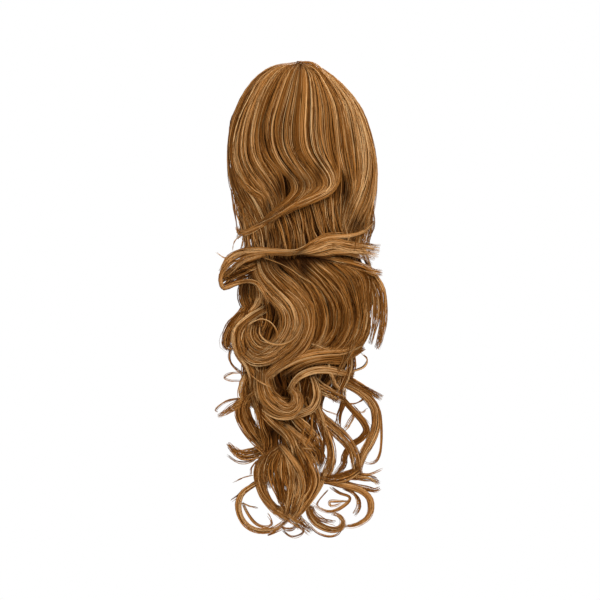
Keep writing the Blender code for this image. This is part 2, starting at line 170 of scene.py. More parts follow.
crown_fibre = fibre("modacrylic_fibre_crown", GOLDEN, SHADE_BROWN)
long_fibre = fibre("modacrylic_fibre_lengths", GOLDEN, SHADE_BROWN)
print("fibre:", crown_fibre.name, "and", long_fibre.name)

# %% Under-hair: the same fibre, packed and hardly lit, so it is dull and painted dark for shade
# the fibre's browns, darkened with painted shade
UNDER_SHADE_BROWNS = ((0.3, "#3A1C08"), (0.7, "#6B4118"))
# Per metre: a streak is 1.7 mm wide and 83 mm long. A fibre, under 0.1 mm wide, is too fine
# to show, so a streak stands for a bundle of them.
UNDER_STREAKS = (600, 600, 12)
UNDER_ROUGHNESS = 0.7
UNDER_GLOSS = 0.15

under_hair_shade, tree, shader = shader_of("modacrylic_under_hair")
spot = node(tree, "ShaderNodeTexCoord").outputs["Object"]
stretched = node(tree, "ShaderNodeMapping", {0: spot, 3: UNDER_STREAKS})
streaks = node(tree, "ShaderNodeTexNoise", {0: stretched.outputs[0], 2: 1.0}).outputs[0]
tree.links.new(ramp(tree, streaks, UNDER_SHADE_BROWNS), shader.inputs["Base Color"])
shader.inputs["Roughness"].default_value = UNDER_ROUGHNESS
shader.inputs["Specular IOR Level"].default_value = UNDER_GLOSS
print("under-hair:", under_hair_shade.name)

# %% Clip plastic: moulded in a polished tool, so it has small sharp glints
CLIP_BROWN = "#4A2E1C"
CLIP_ROUGHNESS = 0.28
CLIP_IOR = 1.49

clip_plastic, tree, shader = shader_of("brown_polycarbonate")
shader.inputs["Base Color"].default_value = linear(CLIP_BROWN)
shader.inputs["Roughness"].default_value = CLIP_ROUGHNESS
shader.inputs["IOR"].default_value = CLIP_IOR
print("clip plastic:", clip_plastic.name)

# %% [markdown]
# ## The form that the hair lies on
#
# The real hair is sewn to tapes in two layers and rounds itself out over the bun below. Each
# layer here is an ellipse at every height, worked out between rows of a short table. A row
# holds the height, the middle and half width across, and the middle and half depth outwards,
# all in millimetres.

# %% Sections of the two layers
CROWN = np.array([
    # down, centre, half width, middle, half depth
    (0, -4, 13, 30, 8), (6, -10, 27, 30, 16), (12, -9.5, 33.5, 30, 20), (17, -9.5, 39.5, 30, 22),
    (26, -7.5, 49.5, 30, 24.5), (39, -5.5, 59.5, 30.5, 26), (58, -5, 68, 31, 27.5),
    (76, -2.5, 72.5, 31, 28), (90, -1, 74, 31, 29), (107, 0, 75, 31, 29), (126, 0.5, 73.5, 30, 29),
    (142, 3, 69, 28, 28), (152, 4.5, 66.5, 27, 28), (167, 1, 67, 24, 27.5), (177, -2, 67, 22, 26),
    (215, 2, 60, 20, 24),
])
LONG = np.array([
    (9, -2, 20, 22, 8), (19, -5, 34, 23, 18), (48, -5, 51, 22, 23), (96, -1, 63, 22, 25),
    (144, 1, 62, 19, 28), (173, 2, 60, 17, 28), (202, 4, 58, 16, 28), (240, 9, 61, 14, 28),
    (269, 4, 61, 13, 26), (298, -4, 55, 12, 24), (326, -9, 46, 11, 22), (355, -13, 33, 10, 19),
    (384, -13, 30, 8, 16), (413, -10, 28, 7, 14), (437, -10, 20, 6, 10), (456, -9, 9, 5, 5),
    (480, -8, 6, 4, 4),
])
EDGE = 0.97  # a lock beyond the side of the form lies as far out as at this share of it


def section(layer, down):
    """Centre, half width, middle and half depth at each height, by straight lines between rows."""
    return [np.interp(down, layer[:, 0], layer[:, column]) for column in (1, 2, 3, 4)]


def on_form(layer, across, down, lift):
    """out = middle + lift * half_depth * sqrt(1 - e * e), where e is the share of the half width."""
    centre, half_width, middle, half_depth = section(layer, down)
    e = np.clip((across - centre) / half_width, -EDGE, EDGE)
    return place(across, down, middle + lift * half_depth * np.sqrt(1 - e * e))


print(f"form: {len(CROWN)} rows for the crown and {len(LONG)} for the lengths below it")

# %% [markdown]
# ## Curves
#
# A strand follows a smooth curve through a few chosen knots. Blender's own curve objects could
# make it, but thousands of strands are quicker as numpy arrays, a whole sheet at a time.


# %% Curves, frames and in-between lines
def smooth(t):
    """0 below 0, 1 above 1, and 3 t^2 - 2 t^3 between them."""
    t = np.clip(t, 0, 1)
    return t * t * (3 - 2 * t)


def curve(knots, count):
    """Catmull-Rom curves: through each row of knots, at evenly spaced values along it."""
    knots = np.asarray(knots, float)
    before = 2 * knots[..., :1, :] - knots[..., 1:2, :]
    after = 2 * knots[..., -1:, :] - knots[..., -2:-1, :]
    longer = np.concatenate([before, knots, after], axis=-2)
    t = np.linspace(0, knots.shape[-2] - 1, count)
    i = np.minimum(t.astype(int), knots.shape[-2] - 2)
    f = (t - i)[:, None]
    a, b, c, d = (longer[..., i + k, :] for k in range(4))
    return 0.5 * (2 * b + (c - a) * f + (2 * a - 5 * b + 4 * c - d) * f**2
                  + (3 * b - a - 3 * c + d) * f**3)


def unit(v):
    """v / |v| for each vector of an array."""
    return v / np.maximum(np.linalg.norm(v, axis=-1, keepdims=True), 1e-9)


def frames(paths, facing=(0, -1, 0)):
    """out = facing less its part along the path, and across = along x out, at every point."""
    along = unit(np.gradient(paths, axis=-2))
    facing = np.broadcast_to(np.asarray(facing, float), paths.shape)
    out = unit(facing - along * np.sum(facing * along, axis=-1, keepdims=True))
    return out, np.cross(along, out)


def between(grid, u, s):
    """Linear in both directions of grid[row, column], with u down the rows and s along them."""
    r, c = u * (grid.shape[0] - 1), s * (grid.shape[1] - 1)
    i = np.clip(r.astype(int), 0, grid.shape[0] - 2)
    j = np.clip(c.astype(int), 0, grid.shape[1] - 2)
    f, g = (r - i)[..., None], (c - j)[..., None]
    near = grid[i, j] * (1 - g) + grid[i, j + 1] * g
    far = grid[i + 1, j] * (1 - g) + grid[i + 1, j + 1] * g
    return near * (1 - f) + far * f


print("a quarter along a curve over (0, 0), (1, 2), (2, 0):", curve([(0, 0), (1, 2), (2, 0)], 5)[1])

# %% [markdown]
# ## Painted shade in hollows, and painted shine
#
# Where locks part or hook under each other, the real hair swallows light between its many
# fibres, and where a wave turns to the lamp it glows. Fewer, thicker strands let more light
# in, so soft elliptical spots are painted on them: a hollow adds depth, which is painted
# shade, and a shine adds tone, which is a painted highlight.

# %% Painted shade in hollows, and painted shine
HOLLOW_SHADE = np.array([
    # across, down, reach across, reach down, painted shade
    (-23, 127, 5, 11, 0.75), (-13, 116, 4, 9, 0.6), (-36, 147, 4, 10, 0.65), (15, 112, 4, 10, 0.7),
    (1, 121, 8, 8, 0.45), (16, 198, 18, 4, 0.9),
    (44, 134, 5, 18, 0.75), (54, 163, 9, 8, 0.75), (7, 158, 2.5, 10, 0.5), (-32, 176, 4, 10, 0.7),
    (0, 204, 7, 15, 1.1), (-20, 205, 14, 9, 0.6), (-67, 212, 9, 7, 0.55), (-59, 230, 8, 10, 0.85),
    (-28, 258, 5, 12, 0.75), (-35, 270, 7, 8, 0.6), (-24, 321, 8, 10, 0.9), (-12, 314, 10, 6, 0.85),
    (20, 319, 9, 4, 0.75), (8, 308, 14, 5, 0.7), (-30, 374, 11, 9, 0.85), (3, 327, 6, 6, 0.5),
    (50, 232, 4, 20, 0.35),
])
SHINE = np.array([
    # across, down, reach across, reach down, painted highlight
    (30, 22, 10, 14, 0.12), (46, 42, 9, 20, 0.24), (60, 72, 8, 24, 0.2), (-68, 82, 8, 35, 0.12),
    (-22, 98, 12, 14, 0.12), (61, 130, 9, 24, 0.12), (24, 144, 12, 12, 0.12), (30, 183, 20, 8, 0.06),
    (-57, 191, 18, 6, 0.08), (-23, 243, 12, 9, 0.2), (-4, 262, 8, 14, 0.1), (14, 207, 9, 9, 0.12),
    (62, 262, 4, 20, 0.15), (6, 296, 14, 5, 0.1), (9, 314, 15, 5, 0.08), (-9, 400, 7, 16, 0.1),
])


def spots(paths, table):
    """The greatest of amount * exp(-((x - a) / ra) ** 2 - ((down - d) / rd) ** 2) over the rows."""
    across, down = paths[..., 0] / MM, (CROWN_Z - paths[..., 2]) / MM
    a, d, ra, rd, amount = table.T[:, :, None, None]
    return np.max(amount * np.exp(-(((across - a) / ra) ** 2) - ((down - d) / rd) ** 2), axis=0)


print(f"{len(HOLLOW_SHADE)} hollows and {len(SHINE)} shines")

# %% [markdown]
# ## From guides to strands
#
# Combed and curled fibre comes in clumps. A clump has its place across the sheet and in its
# thickness, and its own slow wander, and its strands lie close round it. A particle system
# could scatter them. Here every random number is drawn in a fixed order instead, so the same
# hair grows each time. A few strands stray, and each thins towards its tip.


# %% The strands of a sheet
STRANDS_IN_CLUMP = 4
THICKNESS_SPREAD = 0.18  # a strand's distance from its clump, as a share of the thickness
EDGE_ROUNDING = 0.05  # the least square of a sheet's thickness at its two edges
LATE_START = 0.06  # the last strand's start, as a share of the length
WAVE_TURNS = np.array([0.8, 1.9, 3.1])[:, None]  # the three waves along a strand
WAVE_DIVISORS = np.array([1, 2.2, 4.0])[:, None]  # each wave's reach is divided by one of these
CLUMP_WANDER = (1.1, 0.7)  # millimetres across and outwards
OWN_WANDER = (0.40, 0.30)
WANDER_GROWTH = 0.3  # share of the length over which the wander grows from nothing
STRAY_SHARE = 0.05
STRAY_REACH = 3.5  # times the wander of a strand's own
RADIUS_SPREAD = (0.75, 1.25)
ROOT_RADIUS = 0.5  # share of the radius at the very root
ROOT_LENGTH = 0.08
TIP_LOSS = 0.7  # share of the radius that is lost at the tip
TIP_POWER = 8  # keeps that loss near the tip
MEAN_TONE = 0.44
TONE_SPREAD = 0.15  # from clump to clump, and again from strand to strand
TONE_DRIFT = 0.10  # along a clump
BRIGHT_SHARE = 0.15  # clumps of the palest fibre in the blend
BRIGHT_TONE = 0.22
# painted shade: at the bottom of a sheet's thickness, along its roots, and the most of it
UNDERSIDE_SHADE = 0.6
ROOT_SHADE_LENGTH = 0.22
DEEPEST_SHADE = 0.95
BACK_RADIUS = 0.42  # strands under others and at the back are fewer and thicker
Fibres = namedtuple("Fibres", "paths radius tone depth")


def strands(grid, count, thick, stations, width, facing=(0, -1, 0), tone=0.0, ragged=0.25,
            wander=1.0, radius=0.25, root_shade=0.5, loose=0.4, shadow=1.0, shine=1.0, blend=0.7):
    """p = grid(u, s) + out * (lift + wander) + across * wander, in metres.

    u across the sheet and b in its thickness are the clump's, plus a little of the strand's
    own: width and blend are the sheet's width and that little, in millimetres. lift is
    (b - 1/2) of the thickness. Wander is a sum of sines along s with random phases, and
    ragged is the share of s by which the shortest strand ends early.

    radius = the sheet's, in millimetres, * a rise over the root * (1 - TIP_LOSS t^8).
    tone = mean + the sheet's + the clump's + the strand's own + drift + shine. The shine is a painted
    highlight, and the sheet's part is partly painted light and shade.
    depth = UNDERSIDE_SHADE (1 - b)^1.5 + root shade + hollows, and all of it is painted shade.
    """
    clumps = max(2, count // STRANDS_IN_CLUMP)
    own = np.arange(count)
    mine = own % clumps
    centre_u = (rng.permutation(clumps) + rng.random(clumps)) / clumps
    centre_b = rng.random(clumps)
    u = np.clip(centre_u[mine] + rng.normal(0, blend / width, count), 0, 1)
    b = np.clip(centre_b[mine] + rng.normal(0, THICKNESS_SPREAD, count), 0, 1)
    start = rng.random(count) * LATE_START
    stop = 1 - rng.random(count) ** 2 * ragged
    t = np.linspace(0, 1, stations)
    s = start[:, None] + (stop - start)[:, None] * t
    u = np.repeat(u[:, None], stations, axis=1)
    paths = between(grid, u, s)
    out, across = frames(paths, facing)
    thickness = np.interp(s, np.linspace(0, 1, len(thick)), thick) * MM
    rounded = np.sqrt(np.maximum(EDGE_ROUNDING, 1 - (2 * u - 1) ** 4))
    lift = (b[:, None] - 0.5) * thickness * rounded

    def waves(owners, reach):
        """Sum of reach / divisor * sin(2 pi (turns * s + phase)) over the three waves."""
        phase = rng.random((clumps if owners is mine else count, 3, 1))[owners]
        size = reach / WAVE_DIVISORS
        return np.sum(size * np.sin(2 * math.pi * (WAVE_TURNS * s[:, None, :] + phase)), axis=1)

    stray = np.where(rng.random(count) < STRAY_SHARE, STRAY_REACH, 1.0)[:, None, None]
    grow = smooth(s / WANDER_GROWTH) * (1 + loose * s**2)
    sideways = waves(mine, CLUMP_WANDER[0] * wander) + waves(own, OWN_WANDER[0] * wander * stray)
    outwards = waves(mine, CLUMP_WANDER[1] * wander) + waves(own, OWN_WANDER[1] * wander * stray)
    lift = lift + outwards * MM * grow
    paths = paths + out * lift[..., None] + across * (sideways * MM * grow)[..., None]

    thin = radius * rng.uniform(*RADIUS_SPREAD, (count, 1)) * MM
    rise = ROOT_RADIUS + (1 - ROOT_RADIUS) * smooth(t / ROOT_LENGTH)
    taper = rise * (1 - TIP_LOSS * t**TIP_POWER)

    bright = np.where(rng.random(clumps) < BRIGHT_SHARE, BRIGHT_TONE, 0.0)
    clump_tone = TONE_SPREAD * rng.normal(size=clumps) + bright
    own_tone = TONE_SPREAD * rng.normal(size=count)
    shade = (MEAN_TONE + tone + clump_tone[mine] + own_tone)[:, None]
    # the shine spots are a painted highlight, added to the fibre's own tone
    shade = shade + TONE_DRIFT * waves(mine, 1.0) + shine * spots(paths, SHINE)

    # depth is painted shade: low in the sheet's thickness, at the roots and in the hollows
    depth = UNDERSIDE_SHADE * (1 - b)[:, None] ** 1.5
    depth = depth + root_shade * (1 - smooth(s / ROOT_SHADE_LENGTH))
    depth = depth + shadow * spots(paths, HOLLOW_SHADE)
    return Fibres(paths, thin * taper, np.clip(shade, 0, 1), np.clip(depth, 0, DEEPEST_SHADE))


print(f"clumps of {STRANDS_IN_CLUMP} strands, with {STRAY_SHARE:.0%} of the strands straying")

# %% [markdown]
# ## Tubes
#
# A fibre is a plain round thread. A strand is a tube of three flat sides with smooth shading,
# which looks round at this size and is the smallest closed solid. A bevelled curve would give
# the same tubes, but one mesh of many strands carries its own tone, with painted light, and
# depth, which is painted shade, on each point. In the UV square every strand has a narrow
# upright strip, in bands of strips side by side.


# %% Points, faces and UVs of a group of tubes
SIDES = 3
SIDE = np.arange(SIDES)
NEXT_SIDE = (SIDE + 1) % SIDES
UV_BAND = 256  # strips side by side in one band
UV_WIDE = 0.9  # share of its strip's width that a strand uses
UV_TALL = 0.98
UV_CAP = np.array([(0, 0), (0.5, 0), (0, 0.5)])  # an end's corner of the UV strip


def tube_points(group):
    """ring = p + r cos(t) out + r sin(t) across, for SIDES values of t at each station."""
    out, across = frames(group.paths)
    t = 2 * math.pi * SIDE[:, None] / SIDES
    ring = np.cos(t) * out[..., None, :] + np.sin(t) * across[..., None, :]
    return (group.paths[..., None, :] + ring * group.radius[..., None, None]).reshape(-1, 3)


def tube_faces(count, stations, first):
    """Each side of each ring joins the ring after it, and a triangle closes each end.

    Gives the corners of all faces in one row, and the number of corners of each face.
    """
    root = first + np.arange(count)[:, None, None] * stations * SIDES
    ring = root + np.arange(stations - 1)[None, :, None] * SIDES
    after = ring + SIDES
    quads = np.stack([ring + SIDE, after + SIDE, after + NEXT_SIDE, ring + NEXT_SIDE], axis=-1)
    tip = root + (stations - 1) * SIDES
    caps = np.concatenate([root + SIDE, tip + SIDE[::-1]], axis=1)
    sizes = np.repeat([SIDES + 1, SIDES], [count * (stations - 1) * SIDES, 2 * count])
    return np.concatenate([quads.reshape(-1), caps.reshape(-1)]), sizes


def tube_uvs(count, stations, before, total):
    """u = left + side / SIDES of the strip's width, v = bottom + station / stations of its height."""
    bands = math.ceil(total / UV_BAND)
    strip = before + np.arange(count)
    left = (strip % UV_BAND) / UV_BAND
    bottom = (strip // UV_BAND) / bands
    side = (SIDE[:, None] + np.array([0, 0, 1, 1])) / SIDES
    station = (np.arange(stations - 1)[:, None, None] + np.array([0, 1, 1, 0])) / (stations - 1)
    uu = left[:, None, None, None] + side * UV_WIDE / UV_BAND
    vv = bottom[:, None, None, None] + station * UV_TALL / bands
    walls = np.stack(np.broadcast_arrays(uu, vv), axis=-1).reshape(-1, 2)
    corner = np.repeat(np.stack([left, bottom], axis=-1), 2 * SIDES, axis=0)
    caps = corner + np.tile(UV_CAP / (UV_BAND * bands), (2 * count, 1))
    return np.concatenate([walls, caps])


print("triangles in a tube of 10 stations:", int(np.sum(tube_faces(1, 10, 0)[1] - 2)))


# %% One piece of many tubes
def show(piece, node_name, slot):
    """Links a piece, rides it on the one body, and hides the node it stands for. slot is not used."""
    bpy.context.scene.collection.objects.link(piece)
    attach(piece, "root")
    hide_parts(node_name)


def tubes(name, groups, material, node_name, slot):
    """One mesh of all the groups' strands, with tone and depth, the painted shade, on its points."""
    total = sum(len(group.paths) for group in groups)
    corners, sizes, uvs = [], [], []
    first = before = 0
    for group in groups:
        count, stations = group.radius.shape
        group_corners, group_sizes = tube_faces(count, stations, first)
        corners.append(group_corners)
        sizes.append(group_sizes)
        uvs.append(tube_uvs(count, stations, before, total))
        first += count * stations * SIDES
        before += count
    points = np.concatenate([tube_points(group) for group in groups])
    corners, sizes, uvs = (np.concatenate(rows) for rows in (corners, sizes, uvs))
    starts = np.cumsum(sizes) - sizes
    mesh = bpy.data.meshes.new(name)
    mesh.vertices.add(len(points))
    mesh.vertices.foreach_set("co", points.reshape(-1))
    mesh.loops.add(len(corners))
    mesh.loops.foreach_set("vertex_index", corners.astype(np.int32))
    mesh.polygons.add(len(sizes))
    mesh.polygons.foreach_set("loop_start", starts.astype(np.int32))
    mesh.polygons.foreach_set("use_smooth", np.ones(len(sizes), bool))
    mesh.update(calc_edges=True)
    mesh.uv_layers.new(name="OFBake").data.foreach_set("uv", uvs.reshape(-1))
    for key in ("tone", "depth"):
        values = np.concatenate([np.repeat(getattr(group, key), SIDES) for group in groups])
        made = mesh.attributes.new(key, "FLOAT", "POINT")
        made.data.foreach_set("value", values.astype(np.float32))
    mesh.materials.append(material)
    show(bpy.data.objects.new(name, mesh), node_name, slot)
    print(f"{name}: {total} strands, {int(np.sum(sizes - 2))} triangles")


FINE = 60  # points along a smooth guide


def sheet_grid(layer, guides, lifts):
    """The smooth curves of a sheet's guides, laid on the form with one lift for each knot."""
    guides = np.array(guides, float)
    return curve(on_form(layer, guides[..., 0], guides[..., 1], np.array(lifts)), FINE)


CROWN_PIECE = (crown_fibre, "crown_hair", "crown_fibre")
LONG_PIECE = (long_fibre, "long_hair", "long_fibre")
print("material, replaced node and slot:", CROWN_PIECE[1:], "and", LONG_PIECE[1:])

# %% [markdown]
# ## The crown
#
# The top layer is sewn to the upper edge of the base. It parts at the top, falls straight,
# sweeps to the right in one wave and hooks back to the left. One sheet bent like that would
# tear where it hooks, so three sheets share the work: the left, the ridge over it with the
# hook, and the right. Each guide is a line that the eye can follow in the real hair.

# %% Guides of the crown's front
LEFT_GUIDES = (
    ((-6, 0), (-30, 4.5), (-48, 17), (-62, 37), (-71, 60), (-75, 84), (-75, 108), (-72, 128), (-63, 148),
     (-50, 166), (-43, 184)),
    ((-5, 1), (-27, 6), (-44, 20), (-57, 44), (-66, 70), (-69, 96), (-63, 115), (-52, 131), (-42, 147),
     (-36, 164), (-36, 180)),
    ((-4, 1), (-22, 7), (-37, 24), (-48, 50), (-53, 76), (-51, 97), (-42, 112), (-33, 124), (-26, 137),
     (-25, 149), (-31, 162)),
    ((-4, 1), (-18, 8), (-30, 30), (-39, 58), (-40, 78), (-35, 95), (-26, 107), (-21, 117), (-19, 129),
     (-19, 142), (-25, 156)),
)
LEFT_LIFTS = (0.3, 0.95, 1.0, 1.0, 0.98, 0.97, 0.97, 0.98, 1.0, 1.0, 0.95)
RIDGE_GUIDES = (
    ((-4, 1), (-18, 9), (-29, 32), (-38, 60), (-38, 80), (-33, 96), (-24, 109), (-15, 119), (-12, 129),
     (-17, 139), (-28, 149), (-40, 159), (-52, 167)),
    ((-3, 1), (-8, 12), (-15, 38), (-21, 64), (-20, 84), (-12, 101), (-2, 114), (4, 124), (1, 133),
     (-9, 141), (-21, 149), (-34, 158), (-46, 165)),
    ((-2, 1), (-1, 14), (-3, 42), (-5, 68), (-3, 88), (6, 103), (15, 115), (19, 124), (13, 132),
     (1, 139), (-12, 146), (-25, 154), (-37, 162)),
    ((-1, 1), (9, 15), (13, 43), (13, 69), (16, 89), (23, 103), (30, 114), (30, 124), (23, 131),
     (11, 137), (-2, 143), (-15, 149), (-28, 157)),
    ((0, 1), (17, 15), (29, 43), (32, 67), (34, 87), (36, 102), (37, 114), (34, 125), (27, 133),
     (16, 139), (4, 144), (-8, 149), (-19, 154)),
)
RIDGE_LIFTS = (0.3, 0.95, 1.0, 1.0, 0.97, 0.95, 0.97, 1.04, 1.13, 1.2, 1.22, 1.2, 1.1)
RIGHT_GUIDES = (
    ((0, 1), (9, 6), (17, 15), (29, 43), (32, 69), (34, 91), (38, 108), (44, 122), (44, 137), (41, 150),
     (39, 163)),
    ((1, 0), (11, 5), (22, 15), (38, 44), (44, 72), (48, 94), (51, 112), (51, 128), (46, 142),
     (42, 156), (40, 168)),
    ((2, 0), (13, 5), (29, 17), (49, 43), (57, 70), (60, 93), (59, 112), (54, 130), (48, 146),
     (44, 160), (40, 174)),
    ((2, 0), (15, 5), (33, 19), (54, 45), (65, 74), (70, 98), (70, 118), (65, 138), (57, 155),
     (50, 170), (44, 184)),
    ((3, 0), (16, 4.5), (36, 20), (57, 46), (68, 76), (74, 103), (73, 124), (71, 145), (68, 163),
     (66, 178), (62, 190)),
)
RIGHT_LIFTS = (0.3, 0.8, 0.95, 1.0, 1.0, 0.98, 0.98, 1.0, 1.0, 0.97, 0.95)
DEEP_LIFTS = (0.86,) * 5  # under the other sheets
DEEP_GUIDES = (
    ((-56, 70), (-54, 90), (-48, 110), (-42, 130), (-40, 150)),
    ((-28, 70), (-26, 90), (-18, 110), (-12, 130), (-14, 150)),
    ((20, 70), (24, 90), (30, 110), (34, 130), (30, 150)),
    ((56, 70), (58, 90), (56, 110), (52, 130), (48, 150)),
)
FRONT_SHEETS = (LEFT_GUIDES, RIDGE_GUIDES, RIGHT_GUIDES, DEEP_GUIDES)
print("guides in the crown's sheets:", [len(guides) for guides in FRONT_SHEETS])

# %% Strands of the crown's front
deep_grid = sheet_grid(CROWN, DEEP_GUIDES, DEEP_LIFTS)
left_grid = sheet_grid(CROWN, LEFT_GUIDES, LEFT_LIFTS)
ridge_grid = sheet_grid(CROWN, RIDGE_GUIDES, RIDGE_LIFTS)
right_grid = sheet_grid(CROWN, RIGHT_GUIDES, RIGHT_LIFTS)
# the deep sheet lies under the others, and its tone is painted dark for shade
crown_deep = strands(deep_grid, count=170, thick=(3, 3), stations=10, width=110,
                     radius=BACK_RADIUS, tone=-0.25, root_shade=0.2)
left_sheet = strands(left_grid, count=500, thick=(3, 5, 6, 5), stations=22, width=60,
                     ragged=0.12, wander=0.9, root_shade=0.1)
ridge = strands(ridge_grid, count=600, thick=(3, 5, 6, 6, 4), stations=27, width=80,
                ragged=0.16, wander=0.8, root_shade=0.1)
# the right sheet's tone is raised: painted light from the key lamp at the upper right
right_sheet = strands(right_grid, count=450, thick=(3, 5, 6, 5), stations=21, width=45,
                      ragged=0.12, wander=0.9, root_shade=0.1, tone=0.1)
tubes("crown_side_sheets", [left_sheet, right_sheet, crown_deep], *CROWN_PIECE)
tubes("crown_ridge", [ridge], *CROWN_PIECE)

# %% [markdown]
# ## The fall under the ridge
#
# Below the hook the top layer goes on down, straight and in shade, to the flips at its lower
# edge. Its roots lie under the wave, so shade is painted on them. One plain sheet is enough
# for it.

# %% Crown fall
FALL_GUIDES = (
    ((-70, 128), (-67, 148), (-62, 166), (-61, 180), (-64, 194)),
    ((-58, 128), (-56, 150), (-50, 168), (-46, 184), (-44, 200)),
    ((-40, 130), (-36, 148), (-30, 164), (-27, 180), (-25, 198)),
    ((-20, 128), (-16, 146), (-11, 163), (-8, 180), (-8, 198)),
    ((0, 126), (3, 144), (7, 162), (11, 178), (12, 194)),
    ((20, 124), (22, 143), (26, 160), (30, 176), (30, 190)),
    ((40, 124), (40, 142), (40, 158), (42, 174), (44, 188)),
    ((56, 124), (56, 142), (54, 160), (52, 176), (50, 190)),
    ((68, 124), (70, 142), (69, 160), (66, 176), (62, 192)),
)
FALL_LIFTS = (0.78, 0.85, 0.93, 0.98, 1.0)
fall_grid = sheet_grid(CROWN, FALL_GUIDES, FALL_LIFTS)
crown_fall = strands(fall_grid, count=580, thick=(5, 6, 5), stations=14, width=130,
                     ragged=0.1, root_shade=0.65, tone=0.03)
tubes("crown_fall", [crown_fall], *CROWN_PIECE)

# %% [markdown]
# ## Locks and flips
#
# Curled on a rod, hair hangs in locks, each a finger wide, which narrow, fan out or turn in a
# loop. A lock is a narrow sheet between two edges, and a row of a table says all of it, so
# that a lock can be moved by hand. The first table has the flips, where the lower edge of the
# crown curls out to the left and right.
#
# A row holds the name, the number of strands, the half width in the middle in millimetres,
# the shares of it at the root and at the fanned end, the lifts off the form at the two ends,
# the tone added, the centreline, and how ragged the ends are where that isn't usual. The tone
# added is partly the fibre's own browns and partly painted light and shade, and hidden locks
# are painted darker.


# %% Locks from rows
LOCK_RADIUS = 0.3
HIDDEN_RADIUS = 0.5  # what lies under other locks is built of fewer, thicker strands
# rows with a tone this low are hidden locks, their tone painted dark for shade
HIDDEN_TONE = -0.2
LOCK_ROOT_SHADE = 0.45
LOCK_LOOSE = 1.0  # share by which the wander is greater at the tip
LOCK_BLEND = 1.4  # how far strands stray from their clump, in millimetres
ROOT_WIDENS = 0.35  # share of the length over which a lock widens from its root
FAN_START = 0.45  # where it starts to fan out or to narrow
LOCK_THICKNESS = 1.1  # as a share of the half width
THINNEST, THICKEST = 1.2, 6.5
TIP_THICKNESS = 0.6  # as a share of the lock's own
STATIONS_A_KNOT = 2
LOCK_MARGIN = 3  # millimetres added to a lock's width for its clumps
LOCK_WANDER = (0.25, 0.06, 0.75)  # of a thread, more for each millimetre of half width, most
# a lock lifted clear of the hollows gets none of their painted shade
CLEAR_LIFT = 1.3  # a lock lifted this far lies over the hollows
CLEAR_RANGE = 0.3  # one that lies lower by this has them in full
Lock = namedtuple("Lock", "name count wide root fan near far tone path ends", defaults=[0.3])


def lock_fibres(layer, row):
    """edges = centreline +- w across, with w from root * wide to wide to fan * wide."""
    path = np.array(row.path, float)
    lifts = np.linspace(row.near, row.far, len(path))
    centre = curve(on_form(layer, path[:, 0], path[:, 1], lifts), FINE)
    _, across = frames(centre)
    s = np.linspace(0, 1, FINE)
    rooted = row.root + (1 - row.root) * smooth(s / ROOT_WIDENS)
    fanned = 1 + (row.fan - 1) * smooth((s - FAN_START) / (1 - FAN_START))
    offset = across * (row.wide * rooted * fanned * MM)[:, None]
    grid = np.stack([centre - offset, centre + offset])
    deep = float(np.clip(row.wide * LOCK_THICKNESS, THINNEST, THICKEST))
    least, slope, most = LOCK_WANDER
    below = CLEAR_LIFT - (row.near + row.far) / 2
    return strands(
        grid, row.count, (deep, deep, deep * TIP_THICKNESS), STATIONS_A_KNOT * (len(path) + 1),
        2 * row.wide + LOCK_MARGIN, tone=row.tone, wander=min(most, least + row.wide * slope),
        ragged=row.ends, root_shade=LOCK_ROOT_SHADE, loose=LOCK_LOOSE, blend=LOCK_BLEND,
        radius=HIDDEN_RADIUS if row.tone <= HIDDEN_TONE else LOCK_RADIUS,
        shadow=float(np.clip(below / CLEAR_RANGE, 0, 1)))


def locks(name, layer, rows, piece):
    """One piece of all the locks of a table."""
    tubes(name, [lock_fibres(layer, Lock(*row)) for row in rows], *piece)


print("a row of a lock:", ", ".join(Lock._fields))

